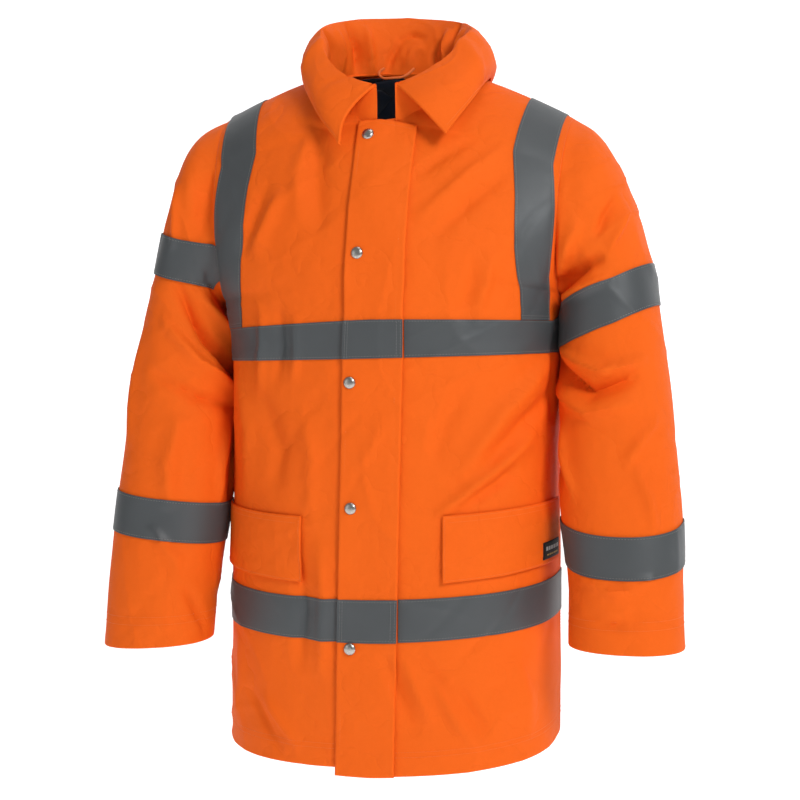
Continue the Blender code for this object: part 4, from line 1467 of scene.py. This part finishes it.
@dataclass
class Tapes:
    """The chest band, the lower band and the braces over the shoulders."""

    coat: Coat
    flap: StormFlap
    chest_z: float = -0.313
    hem_z: float = -0.649
    width: float = 0.050
    cloth: float = 0.0010
    lift: float = 0.0005
    pitch: float = 0.0040
    margin: float = 0.0025
    row_length: float = 0.27

    def build(self) -> None:
        """Both bands, the braces and the stitching on them."""
        self.grey: list[tuple[Array, Array]] = []
        self.band("chest", self.chest_z)
        self.band("hem", self.hem_z)
        for side, name in SIDE_NAMES.items():
            self.brace(side, name)
        self.coat.sewing.threads("tape_stitching", self.grey, self.coat.finishes.grey_yarn, "reflective_tape")

    def sew(self, name: str, node: str, patches: Sequence[Patch], lift: float, rests_on: str) -> None:
        """One strip of tape."""
        wall = Wall(lift, self.cloth, margins=(self.margin,), sink=0.0002, roll=0.12)
        piece = self.coat.sewing.wall(name, patches, wall, self.coat.finishes.tape)
        self.coat.sewing.declare(piece, node, "reflective_tape", Held.STRETCHED, [rests_on])

    def band(self, band: str, middle: float) -> None:
        """A band round the body: right front, left front, back, and its stretch across the flap."""
        body = self.coat.body
        levels = stops(
            body.level_of(middle - self.width / 2.0), body.level_of(middle + self.width / 2.0),
            self.width, self.pitch,
        )
        whole = stops(0.0, 1.0, self.row_length, self.pitch)
        seam = self.flap.free_edge(middle) + self.flap.width + 0.001
        columns = np.linspace(0.0, 1.0, 201)
        arcs = body.arcs(Face.FRONT, LEFT, columns, float(levels[0]))
        start = float(np.interp(seam, arcs, columns))
        left = stops(start, 1.0, self.row_length * (1.0 - start), self.pitch)
        half = np.concatenate([[0.0], whole[whole > 0.0040 / self.row_length]])
        strips = {
            "right": ([Patch(body.half(Face.FRONT, RIGHT), whole, levels)], self.lift, "right_front_cloth"),
            "left": ([Patch(body.half(Face.FRONT, LEFT), left, levels)], self.lift, "left_front_cloth"),
            "back": ([Patch(body.half(Face.BACK, side), half, levels) for side in SIDE_NAMES],
                     self.lift, "back_cloth"),
            "flap": ([Patch(self.flap.surface, stops(0.0, 1.0, self.flap.width, self.pitch), levels)],
                     self.flap.lift + self.flap.cloth + self.lift, "storm_flap_cloth"),
        }
        edge, tall = self.margin / self.width, levels[-1] - levels[0]
        rows = (levels[0] + tall * edge, levels[0] + tall * (1.0 - edge))
        for part, (patches, lift, rests_on) in strips.items():
            self.sew(f"{band}_tape_{part}_strip", f"{band}_tape_{part}", patches, lift, rests_on)
            for patch in patches:
                line = patch.firsts[1:]
                for row in rows:
                    self.grey.append(run_on(patch.surface, line, row, lift + self.cloth - THREAD_RISE))
        top = self.flap.lift + self.flap.cloth + self.lift + self.cloth
        for across in (0.045, 0.085, 0.90, 0.965):
            self.grey.append(run_on(self.flap.surface, across, levels, top))

    def brace(self, side: int, name: str) -> None:
        """A brace from the chest band over the shoulder to the back's band, with a cross-stitched foot."""
        body = self.coat.body
        lowest = body.level_of(self.chest_z + self.width / 2.0 + 0.0008)
        levels = self.coat.levels(lowest, 1.0, self.pitch)
        columns = stops(*body.brace_columns, self.width, self.pitch)
        patches = [Patch(body.half(face, side), columns, levels) for face in Face]
        self.sew(f"{name}_brace_strip", f"brace_{name}", patches, self.lift, f"{name}_front_cloth")
        low, high = body.brace_columns
        edge = self.margin / self.width * (high - low)
        for patch in patches:
            for column in (low + edge, high - edge):
                rise = self.lift + self.cloth - THREAD_RISE
                self.grey.append(run_on(patch.surface, column, levels, rise))
            for level in (lowest + 0.006, lowest + 0.014):
                inside = np.linspace(low, high, 30)
                self.grey.append(run_on(patch.surface, inside, level, self.lift + self.cloth))


@dataclass
class Pockets:
    """The two pocket flaps and the woven label on the left one."""

    coat: Coat
    arc: tuple[float, float] = (0.086, 0.266)
    height: tuple[float, float] = (-0.606, -0.526)
    outer_rise: float = 0.004
    lift: float = 0.0016
    cloth: float = 0.0030
    margins: tuple[float, ...] = (0.0025, 0.0085)
    label_size: tuple[float, float] = (0.040, 0.022)
    label_inset: tuple[float, float] = (0.006, 0.005)
    label_cloth: float = 0.0010
    label_lift: float = 0.0005

    def surface(self, side: int) -> Surface:
        """A flap's surface over (share along, share up)."""
        def made(along: Array, up: Array) -> tuple[Array, Array]:
            """The flap's points and normals."""
            body = self.coat.body
            points, normals = np.empty((len(up), len(along), 3)), np.empty((len(up), len(along), 3))
            for index, share in enumerate(along):
                arc = self.arc[0] + (self.arc[1] - self.arc[0]) * share
                heights = self.height[0] + (self.height[1] - self.height[0]) * up + self.outer_rise * share
                levels = np.array([body.level_of(float(height)) for height in heights])
                spot = body.on(Face.FRONT, np.full((len(up), 1), side * arc), levels)
                points[:, index], normals[:, index] = spot[0][:, 0], spot[1][:, 0]
            return points, normals
        return made

    def build(self) -> None:
        """Both flaps, their stitching and the label."""
        coat = self.coat
        width, tall = self.arc[1] - self.arc[0], self.height[1] - self.height[0]
        runs = []
        for side, name in SIDE_NAMES.items():
            surface = self.surface(side)
            along, up = stops(0.0, 1.0, width, 0.0045), stops(0.0, 1.0, tall, 0.0040)
            wall = Wall(self.lift, self.cloth, margins=self.margins, sink=0.0006, relief=self.stand_off)
            piece = coat.sewing.wall(f"{name}_pocket_flap_cloth", [Patch(surface, along, up)], wall,
                                     coat.finishes.shell)
            coat.sewing.declare(piece, f"pocket_flap_{name}", "shell_cloth", Held.HUNG,
                                [f"{name}_front_cloth"])
            top = self.lift + self.cloth - THREAD_SINK
            across, upwards = self.margins[0] / width, self.margins[0] / tall
            inside = along[(along > across) & (along < 1.0 - across)]
            uprights = up[(up > upwards) & (up < 1.0 - upwards)]
            for share in (upwards, 1.0 - upwards, 1.0 - self.margins[1] / tall):
                runs.append(self.raised(surface, inside, share, top))
            for share in (across, 1.0 - across):
                runs.append(self.raised(surface, share, uprights, top))
        coat.sewing.threads("pocket_stitching", runs, coat.finishes.orange_yarn, "shell_cloth")
        self.label()

    def stand_off(self, along: Array, up: Array) -> Array:
        """How the flap lifts at its lower edge and its inner corner."""
        lower = np.clip(1.0 - up / 0.35, 0.0, 1.0) ** 2
        inner = np.clip(1.0 - along / 0.10, 0.0, 1.0) ** 2 * smooth(1.0 - up, 0.0, 0.5)
        return 0.0009 * lower + 0.0022 * inner + 0.0003 * np.sin(along * 19.0) * lower

    def raised(
        self, surface: Surface, along: Array | float, up: Array | float, lift: float
    ) -> tuple[Array, Array]:
        """A line on the flap, on top of how the flap lifts."""
        points, normals = run_on(surface, along, up, lift)
        rise = self.stand_off(np.broadcast_to(along, len(points)), np.broadcast_to(up, len(points)))
        return points + normals * rise[:, None], normals

    def label(self) -> None:
        """The label's ground, with bars in place of words."""
        body = self.coat.body

        def patch_at(along: Array, up: Array) -> tuple[Array, Array]:
            """The label's points and normals over (share along, share up)."""
            arc = self.arc[1] - self.label_inset[0] - self.label_size[0] * (1.0 - along)
            base = self.height[0] + self.outer_rise + self.label_inset[1]
            levels = np.array([body.level_of(float(base + self.label_size[1] * share)) for share in up])
            return body.on(Face.FRONT, np.tile(arc, (len(up), 1)), levels)

        def round_corner(along: Array, up: Array) -> Array:
            """How far the label sinks at its corners."""
            width, tall = self.label_size
            x, y = np.minimum(along, 1.0 - along) * width, np.minimum(up, 1.0 - up) * tall
            corner = np.hypot(np.maximum(0.003 - x, 0.0), np.maximum(0.003 - y, 0.0))
            return -0.0004 * smooth(corner, 0.0024, 0.0030)

        lift = self.lift + self.cloth + self.label_lift
        wall = Wall(lift, self.label_cloth, relief=round_corner)
        width, tall = self.label_size
        patch = Patch(patch_at, stops(0.0, 1.0, width, 0.001), stops(0.0, 1.0, tall, 0.001))
        piece = self.coat.sewing.wall("label_cloth", [patch], wall, self.coat.finishes.label_ground)
        self.coat.sewing.declare(piece, "flap_label", "label_weave", Held.STRETCHED,
                                 ["left_pocket_flap_cloth"])
        bars = {
            "label_bars": (self.coat.finishes.label_light, 0.62, 0.22,
                           ((0.12, 0.22), (0.26, 0.34), (0.38, 0.50), (0.54, 0.66), (0.70, 0.76),
                            (0.80, 0.88))),
            "label_dashes": (self.coat.finishes.label_yellow, 0.26, 0.09,
                             ((0.18, 0.26), (0.30, 0.42), (0.46, 0.52), (0.56, 0.70), (0.74, 0.82))),
        }
        top = lift + self.label_cloth + 0.00002
        for name, (finish, middle, tall_share, spans) in bars.items():
            shape = bmesh.new()
            for low, high in spans:
                points, normals = patch_at(np.array((low, high)), np.array(
                    (middle - tall_share / 2.0, middle + tall_share / 2.0)))
                made = bmesh.ops.create_cube(shape, size=1.0)
                for vert in made["verts"]:
                    spot = (int(vert.co.y > 0.0), int(vert.co.x > 0.0))
                    rise = top + (0.00016 if vert.co.z > 0.0 else -0.0001)
                    vert.co = points[spot] + normals[spot] * rise
            piece = self.coat.sewing.finish(shape, name, finish)


@dataclass
class Collar:
    """The fold-over collar, its stitching, and the hanging loop in the back of the neck."""

    coat: Coat
    form: CollarForm
    cloth: float = 0.0028
    rows_up: int = 30
    rows_down: int = 44
    edge_travel: float = 1.945
    loop: tuple[tuple[float, float, float], ...] = (
        (-0.027, 0.059, 0.0340), (-0.033, 0.054, 0.0270), (-0.028, 0.050, 0.0205),
        (-0.014, 0.048, 0.0190), (0.002, 0.050, 0.0215), (0.013, 0.057, 0.0320),
    )
    loop_radius: float = 0.0016

    def travels(self) -> Array:
        """Rows over the collar, closer together round the ridge, where the cloth turns over."""
        up = 1.0 - (1.0 - np.linspace(0.0, 1.0, self.rows_up + 1)) ** 2
        down = 1.0 + np.linspace(0.0, 1.0, self.rows_down + 1)[1:] ** 1.6
        near = np.array((1.974, 1.984, 1.992))
        return np.unique(np.concatenate([up, down[down < 1.97], near, [2.0]]))

    def build(self) -> None:
        """The collar, its stitching and the loop."""
        coat = self.coat
        shares = stops(0.0, 1.0, self.form.round_length, 0.0028)
        travels = self.travels()
        wall = Wall(-self.cloth, self.cloth, margins=(0.0050,), sink=0.0006)
        piece = coat.sewing.wall("collar_cloth", [Patch(self.form.roll, shares, travels)], wall,
                                 coat.finishes.shell)
        coat.sewing.declare(piece, "collar_fall", "shell_cloth", Held.FOLDED)
        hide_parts("collar_fall", "collar_stand")
        points, normals = self.form.roll(shares, travels)
        row = int(np.abs(travels - self.edge_travel).argmin())
        runs = [(points[row, 4:-4] - normals[row, 4:-4] * THREAD_SINK, normals[row, 4:-4])]
        leaf = (travels > 1.15) & (travels < self.edge_travel)
        for column in (4, -5):
            runs.append((points[leaf, column] - normals[leaf, column] * THREAD_SINK, normals[leaf, column]))
        coat.sewing.threads("collar_stitching", runs, coat.finishes.orange_yarn, "shell_cloth")
        self.hang()

    def hang(self) -> None:
        """The hanging loop, a round cord on a smooth curve."""
        curve = bpy.data.curves.new("loop_line", "CURVE")
        curve.dimensions = "3D"
        curve.resolution_u = 10
        curve.bevel_depth = self.loop_radius
        curve.bevel_resolution = 3
        curve.use_fill_caps = True
        line = curve.splines.new("BEZIER")
        line.bezier_points.add(len(self.loop) - 1)
        for spot, point in zip(line.bezier_points, self.loop):
            spot.co = point
            spot.handle_left_type = spot.handle_right_type = "AUTO"
        holder = bpy.data.objects.new("loop_line", curve)
        bpy.context.scene.collection.objects.link(holder)
        bpy.context.view_layer.update()
        mesh = bpy.data.meshes.new_from_object(holder.evaluated_get(bpy.context.evaluated_depsgraph_get()))
        bpy.data.objects.remove(holder, do_unlink=True)
        shape = bmesh.new()
        shape.from_mesh(mesh)
        bmesh.ops.remove_doubles(shape, verts=shape.verts[:], dist=0.00001)
        piece = self.coat.sewing.finish(shape, "loop_cord", self.coat.finishes.orange_yarn)
        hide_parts("hanging_loop")


@dataclass(frozen=True)
class Studio:
    """Camera, soft lights and a plain pale floor that rises to a backdrop."""

    distance: float = 2.0
    turn: float = math.radians(12.0)
    eye_z: float = -0.294
    pitch: float = math.atan(79.0 / 1574.0)
    aside: float = 4.7 / 1574.0
    lens: float = 70.83
    floor_z: float = -1.28
    floor_size: float = 9.0
    surround: float = 0.27
    paper_glow: float = 0.55
    lights: tuple[tuple[str, tuple[float, float, float], float, float], ...] = (
        ("key", (1.9, -2.0, 1.4), 0.9, 59.0),
        ("fill", (-2.4, -2.6, 0.2), 2.0, 9.0),
        ("top", (0.4, -0.3, 2.4), 1.0, 10.0),
    )

    def build(self) -> None:
        """Everything that isn't the coat."""
        scene = bpy.context.scene
        scene.view_settings.view_transform = "Standard"
        self.camera(scene)
        self.world(scene)
        self.floor()
        for name, spot, size, power in self.lights:
            self.light(name, spot, size, power)

    def camera(self, scene: bpy.types.Scene) -> None:
        """The camera, a little to the coat's left and level with its middle."""
        camera = bpy.data.objects.new("camera", bpy.data.cameras.new("camera"))
        camera.data.lens = self.lens
        camera.data.clip_end = 50.0
        flat = Vector((-math.sin(self.turn), math.cos(self.turn), 0.0))
        right = Vector((math.cos(self.turn), math.sin(self.turn), 0.0))
        camera.location = flat * -self.distance + Vector((0.0, 0.0, self.eye_z))
        ahead = flat * math.cos(self.pitch) + Vector((0.0, 0.0, -math.sin(self.pitch))) + right * self.aside
        camera.rotation_euler = ahead.to_track_quat("-Z", "Y").to_euler()
        scene.collection.objects.link(camera)
        scene.camera = camera

    def world(self, scene: bpy.types.Scene) -> None:
        """An even white surrounding."""
        world = bpy.data.worlds.new("studio")
        world.use_nodes = True
        world.node_tree.nodes["Background"].inputs["Color"].default_value = (1.0, 1.0, 1.0, 1.0)
        world.node_tree.nodes["Background"].inputs["Strength"].default_value = self.surround
        scene.world = world

    def floor(self) -> None:
        """A pale floor whose back edge is drawn up into a rounded backdrop."""
        shape = bmesh.new()
        bmesh.ops.create_grid(shape, x_segments=1, y_segments=24, size=self.floor_size / 2.0)
        for vert in shape.verts:
            back = max(vert.co.y - 1.2, 0.0)
            vert.co.z = self.floor_z + min(back, 0.9) ** 2 * 0.6 + max(back - 0.9, 0.0) * 3.4
            vert.co.y = min(vert.co.y, 2.6)
        mesh = bpy.data.meshes.new("studio_floor")
        bmesh.ops.recalc_face_normals(shape, faces=shape.faces[:])
        shape.to_mesh(mesh)
        shape.free()
        mesh.shade_smooth()
        paint = Paint("studio_paper", 0.9)
        paint.feed("Base Color", paint.mix(paint.noise(1.5), (0.93, 0.93, 0.93), (0.95, 0.95, 0.95)))
        paint.shader.inputs["Emission Color"].default_value = (1.0, 1.0, 1.0, 1.0)
        paint.shader.inputs["Emission Strength"].default_value = self.paper_glow
        mesh.materials.append(paint.material)
        floor = bpy.data.objects.new("studio_floor", mesh)
        bpy.context.scene.collection.objects.link(floor)
        floor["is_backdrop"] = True

    def light(self, name: str, spot: tuple[float, float, float], size: float, power: float) -> None:
        """A square soft light turned towards the coat's middle."""
        lamp = bpy.data.lights.new(name, "AREA")
        lamp.shape = "SQUARE"
        lamp.size = size
        lamp.energy = power
        holder = bpy.data.objects.new(name, lamp)
        holder.location = spot
        holder.rotation_euler = (Vector((0.0, 0.0, -0.38)) - Vector(spot)).to_track_quat("-Z", "Y").to_euler()
        bpy.context.scene.collection.objects.link(holder)


def body_folds() -> dict[Face, tuple[Fold, ...]]:
    """The main creases of the fronts and of the back, over (arc from the centre line, height)."""
    chest = (
        Fold(((-0.118, -0.132), (-0.138, -0.172), (-0.160, -0.216)), 0.017, 0.0046, 0.3),
        Fold(((-0.138, -0.122), (-0.160, -0.170), (-0.176, -0.218)), 0.015, -0.0036),
        Fold(((-0.060, -0.045), (-0.076, -0.112), (-0.064, -0.195)), 0.024, -0.0042),
        Fold(((-0.092, -0.060), (-0.102, -0.120), (-0.094, -0.180)), 0.022, 0.0030),
        Fold(((0.152, -0.086), (0.104, -0.127), (0.052, -0.175)), 0.015, 0.0042, 0.3),
        Fold(((0.120, -0.074), (0.083, -0.098), (0.044, -0.126)), 0.012, -0.0032),
        Fold(((0.166, -0.114), (0.115, -0.157), (0.068, -0.204)), 0.014, -0.0036),
        Fold(((0.147, -0.212), (0.136, -0.262), (0.132, -0.300)), 0.014, 0.0036),
        Fold(((0.126, -0.216), (0.117, -0.262), (0.111, -0.296)), 0.013, -0.0028),
        Fold(((-0.152, -0.266), (-0.142, -0.320), (-0.152, -0.380)), 0.013, 0.0046),
        Fold(((-0.121, -0.272), (-0.115, -0.325), (-0.126, -0.374)), 0.012, -0.0038),
        Fold(((-0.096, -0.282), (-0.092, -0.330), (-0.101, -0.372)), 0.011, 0.0034),
    )
    waist = (
        Fold(((0.246, -0.332), (0.163, -0.398), (0.102, -0.480)), 0.028, 0.0078, 0.25),
        Fold(((0.250, -0.374), (0.190, -0.414), (0.136, -0.460)), 0.019, -0.0052),
        Fold(((0.212, -0.426), (0.132, -0.481), (0.074, -0.527)), 0.016, 0.0068, 0.35),
        Fold(((0.184, -0.466), (0.132, -0.499), (0.096, -0.521)), 0.012, -0.0048),
        Fold(((0.120, -0.360), (0.088, -0.420), (0.070, -0.480)), 0.022, -0.0036),
        Fold(((-0.200, -0.350), (-0.172, -0.430), (-0.182, -0.515)), 0.030, 0.0050),
        Fold(((-0.150, -0.380), (-0.118, -0.446), (-0.128, -0.510)), 0.024, -0.0042),
        Fold(((-0.084, -0.400), (-0.072, -0.460), (-0.078, -0.530)), 0.020, 0.0034),
        Fold(((-0.244, -0.300), (-0.240, -0.370), (-0.246, -0.450)), 0.018, -0.0050),
        Fold(((0.250, -0.300), (0.243, -0.350), (0.250, -0.420)), 0.016, -0.0040),
        Fold(((0.020, -0.400), (0.006, -0.440), (-0.010, -0.470)), 0.016, 0.0022),
    )
    skirt = (
        Fold(((0.016, -0.688), (0.036, -0.738), (0.056, -0.785)), 0.014, -0.0038),
        Fold(((0.036, -0.686), (0.056, -0.735), (0.074, -0.776)), 0.013, 0.0038, 0.3),
        Fold(((0.076, -0.722), (0.101, -0.768), (0.128, -0.806)), 0.014, 0.0044, 0.3),
        Fold(((0.098, -0.718), (0.124, -0.762), (0.148, -0.796)), 0.014, -0.0038),
        Fold(((0.055, -0.682), (0.082, -0.716), (0.106, -0.750)), 0.010, -0.0028),
        Fold(((0.180, -0.690), (0.196, -0.745), (0.204, -0.800)), 0.022, 0.0034),
        Fold(((-0.148, -0.750), (-0.119, -0.781), (-0.090, -0.812)), 0.012, 0.0040, 0.3),
        Fold(((-0.172, -0.744), (-0.142, -0.785), (-0.116, -0.818)), 0.013, -0.0032),
        Fold(((-0.064, -0.556), (-0.056, -0.632), (-0.062, -0.725)), 0.018, 0.0056),
        Fold(((-0.092, -0.575), (-0.085, -0.640), (-0.092, -0.720)), 0.016, -0.0044),
        Fold(((-0.200, -0.680), (-0.190, -0.740), (-0.205, -0.800)), 0.024, 0.0036),
    )
    back = (
        Fold(((0.020, -0.060), (0.075, -0.140), (0.150, -0.235)), 0.026, 0.0052, 0.2),
        Fold(((0.055, -0.055), (0.110, -0.120), (0.175, -0.190)), 0.018, -0.0042),
        Fold(((-0.030, -0.080), (-0.080, -0.150), (-0.165, -0.225)), 0.028, 0.0046),
        Fold(((-0.070, -0.070), (-0.118, -0.128), (-0.180, -0.180)), 0.017, -0.0038),
        Fold(((0.010, -0.250), (0.004, -0.340), (0.016, -0.430)), 0.020, -0.0040),
        Fold(((-0.040, -0.260), (-0.050, -0.345), (-0.036, -0.440)), 0.026, 0.0050),
        Fold(((0.225, -0.330), (0.150, -0.400), (0.060, -0.430)), 0.022, 0.0062, 0.3),
        Fold(((0.235, -0.372), (0.165, -0.430), (0.080, -0.462)), 0.016, -0.0048),
        Fold(((-0.228, -0.345), (-0.140, -0.412), (-0.066, -0.420)), 0.021, 0.0058, 0.2),
        Fold(((-0.236, -0.392), (-0.158, -0.446), (-0.090, -0.455)), 0.016, -0.0046),
        Fold(((0.130, -0.480), (0.118, -0.580), (0.130, -0.700)), 0.028, 0.0050),
        Fold(((0.070, -0.500), (0.062, -0.610), (0.072, -0.760)), 0.024, -0.0044),
        Fold(((-0.090, -0.490), (-0.104, -0.600), (-0.094, -0.740)), 0.026, 0.0050),
        Fold(((-0.150, -0.520), (-0.160, -0.620), (-0.150, -0.730)), 0.022, -0.0040),
        Fold(((0.000, -0.660), (-0.012, -0.730), (0.004, -0.810)), 0.020, 0.0036),
        Fold(((0.190, -0.640), (0.204, -0.720), (0.196, -0.800)), 0.022, -0.0034),
        Fold(((-0.204, -0.690), (-0.190, -0.750), (-0.200, -0.810)), 0.020, 0.0034),
    )
    return {Face.FRONT: chest + waist + skirt, Face.BACK: back}


def sleeve_folds() -> dict[int, tuple[Fold, ...]]:
    """The creases of the sleeves, over (distance round from the outer side, front first; height)."""
    right = (
        Fold(((0.120, -0.244), (0.175, -0.312), (0.276, -0.388)), 0.016, -0.0092),
        Fold(((0.156, -0.258), (0.208, -0.306), (0.280, -0.360)), 0.015, 0.0060, 0.3),
        Fold(((0.104, -0.286), (0.163, -0.342), (0.262, -0.398)), 0.014, 0.0054, -0.3),
        Fold(((0.090, -0.352), (0.165, -0.388), (0.250, -0.408)), 0.013, -0.0040),
        Fold(((0.264, -0.416), (0.248, -0.471), (0.244, -0.525)), 0.016, -0.0052),
        Fold(((0.226, -0.420), (0.212, -0.480), (0.216, -0.530)), 0.014, 0.0036),
        Fold(((0.090, -0.106), (0.116, -0.146), (0.138, -0.195)), 0.013, -0.0052),
        Fold(((0.070, -0.120), (0.092, -0.160), (0.108, -0.205)), 0.012, 0.0036),
        Fold(((0.120, -0.546), (0.140, -0.572), (0.168, -0.594)), 0.010, 0.0030),
        Fold(((0.168, -0.618), (0.199, -0.651), (0.230, -0.684)), 0.011, -0.0032),
        Fold(((0.146, -0.410), (0.134, -0.470), (0.142, -0.530)), 0.020, 0.0036),
        Fold(((0.060, -0.300), (0.052, -0.370), (0.060, -0.450)), 0.024, 0.0030),
        Fold(((0.262, -0.386), (0.330, -0.400), (0.400, -0.370)), 0.015, -0.0060),
        Fold(((0.268, -0.350), (0.336, -0.362), (0.410, -0.330)), 0.015, 0.0052),
        Fold(((0.280, -0.440), (0.345, -0.452), (0.420, -0.425)), 0.014, 0.0046),
        Fold(((0.330, -0.220), (0.370, -0.270), (0.410, -0.330)), 0.016, -0.0046),
        Fold(((0.360, -0.560), (0.352, -0.610), (0.366, -0.660)), 0.014, 0.0034),
    )
    left = (
        Fold(((0.112, -0.218), (0.159, -0.236), (0.214, -0.254)), 0.012, -0.0078),
        Fold(((0.108, -0.242), (0.160, -0.258), (0.214, -0.272)), 0.011, 0.0044),
        Fold(((0.044, -0.156), (0.073, -0.181), (0.104, -0.210)), 0.012, 0.0042, 0.3),
        Fold(((0.060, -0.146), (0.092, -0.170), (0.122, -0.198)), 0.011, -0.0036),
        Fold(((0.124, -0.174), (0.160, -0.212), (0.198, -0.248)), 0.012, 0.0052),
        Fold(((0.150, -0.166), (0.184, -0.204), (0.208, -0.238)), 0.011, -0.0046),
        Fold(((0.242, -0.338), (0.150, -0.378), (0.084, -0.356)), 0.014, -0.0080),
        Fold(((0.236, -0.372), (0.155, -0.404), (0.088, -0.386)), 0.017, 0.0050, -0.3),
        Fold(((0.216, -0.326), (0.132, -0.352), (0.066, -0.334)), 0.013, 0.0052, 0.3),
        Fold(((0.060, -0.404), (0.093, -0.435), (0.116, -0.464)), 0.012, 0.0036),
        Fold(((0.102, -0.462), (0.086, -0.502), (0.077, -0.544)), 0.013, 0.0032),
        Fold(((0.238, -0.404), (0.238, -0.452), (0.214, -0.496)), 0.017, -0.0056),
        Fold(((0.204, -0.410), (0.200, -0.460), (0.180, -0.505)), 0.016, 0.0038),
        Fold(((0.186, -0.594), (0.126, -0.608), (0.078, -0.590)), 0.010, 0.0036),
        Fold(((0.176, -0.634), (0.132, -0.646), (0.094, -0.636)), 0.010, -0.0026),
        Fold(((0.258, -0.352), (0.330, -0.386), (0.410, -0.352)), 0.015, -0.0064),
        Fold(((0.262, -0.394), (0.336, -0.424), (0.412, -0.392)), 0.016, 0.0052),
        Fold(((0.300, -0.240), (0.350, -0.286), (0.404, -0.320)), 0.017, 0.0046),
        Fold(((0.350, -0.540), (0.366, -0.590), (0.356, -0.650)), 0.015, 0.0034),
    )
    return {
        side: tuple(replace(fold, strength=SLEEVE_STRENGTH) for fold in folds)
        for side, folds in ((RIGHT, right), (LEFT, left))
    }


def collar_folds() -> tuple[Fold, ...]:
    """The gathers inside the collar, over (distance round it, distance up from the neck seam)."""
    return (
        Fold(((0.180, 0.002), (0.174, 0.040), (0.160, 0.080)), 0.009, -0.0078),
        Fold(((0.197, 0.002), (0.190, 0.040), (0.182, 0.074)), 0.010, 0.0052),
        Fold(((0.140, 0.006), (0.130, 0.040), (0.112, 0.072)), 0.008, -0.0066),
        Fold(((0.158, 0.004), (0.150, 0.038), (0.138, 0.070)), 0.009, 0.0050),
        Fold(((0.212, 0.000), (0.218, 0.028), (0.230, 0.052)), 0.008, -0.0048),
        Fold(((0.222, 0.048), (0.240, 0.058), (0.258, 0.050)), 0.008, -0.0036),
        Fold(((0.232, 0.008), (0.242, 0.032), (0.256, 0.040)), 0.010, 0.0042),
        Fold(((0.297, 0.000), (0.300, 0.040), (0.302, 0.082)), 0.008, -0.0086),
        Fold(((0.283, 0.002), (0.286, 0.038), (0.290, 0.070)), 0.009, 0.0054),
        Fold(((0.313, 0.002), (0.316, 0.036), (0.322, 0.070)), 0.009, 0.0054),
        Fold(((0.322, 0.010), (0.338, 0.044), (0.352, 0.074)), 0.008, -0.0058),
        Fold(((0.266, 0.000), (0.268, 0.026), (0.276, 0.050)), 0.008, -0.0036),
        Fold(((0.090, 0.030), (0.086, 0.070), (0.080, 0.110)), 0.014, 0.0036),
        Fold(((0.380, 0.040), (0.386, 0.080), (0.390, 0.120)), 0.016, 0.0032),
        Fold(((0.200, 0.120), (0.206, 0.150), (0.200, 0.190)), 0.016, 0.0036),
        Fold(((0.262, 0.130), (0.256, 0.160), (0.262, 0.195)), 0.014, -0.0032),
        Fold(((0.120, 0.120), (0.130, 0.150), (0.126, 0.180)), 0.015, -0.0030),
        Fold(((0.330, 0.125), (0.322, 0.155), (0.330, 0.185)), 0.015, 0.0032),
    )


def main() -> None:
    """Builds the coat and its studio."""
    logging.basicConfig(level=logging.INFO, format="%(name)s: %(message)s")
    Studio().build()
    body = BodyForm(folds=body_folds())
    folds = sleeve_folds()
    sleeves = {side: SleeveForm(side, body, folds=folds[side]) for side in SIDE_NAMES}
    coat = Coat(body, sleeves, Finishes.make(), Sewing())
    Panels(coat).build()
    bands = {
        RIGHT: {"upper": (-0.206, -0.232, 1.0, 0.0), "lower": (-0.531, -0.547, 1.0, 0.0)},
        LEFT: {"upper": (-0.250, -0.304, 1.2, 0.0), "lower": (-0.556, -0.556, 1.0, 0.014)},
    }
    for side, form in sleeves.items():
        Sleeve(coat, form, bands[side], cut_band="upper" if side == RIGHT else None).build()
    flap = StormFlap(coat)
    flap.build()
    Tapes(coat, flap).build()
    Pockets(coat).build()
    Collar(coat, CollarForm(body.neck, body.hang, folds=collar_folds())).build()
    log.info("%d faces in all", coat.sewing.faces)
    boxes = {"cad": CAD_BOX, "visual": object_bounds()}
    {name: [[float(v) for v in corner] for corner in box] for name, box in boxes.items()}


if __name__ == "__main__":
    main()
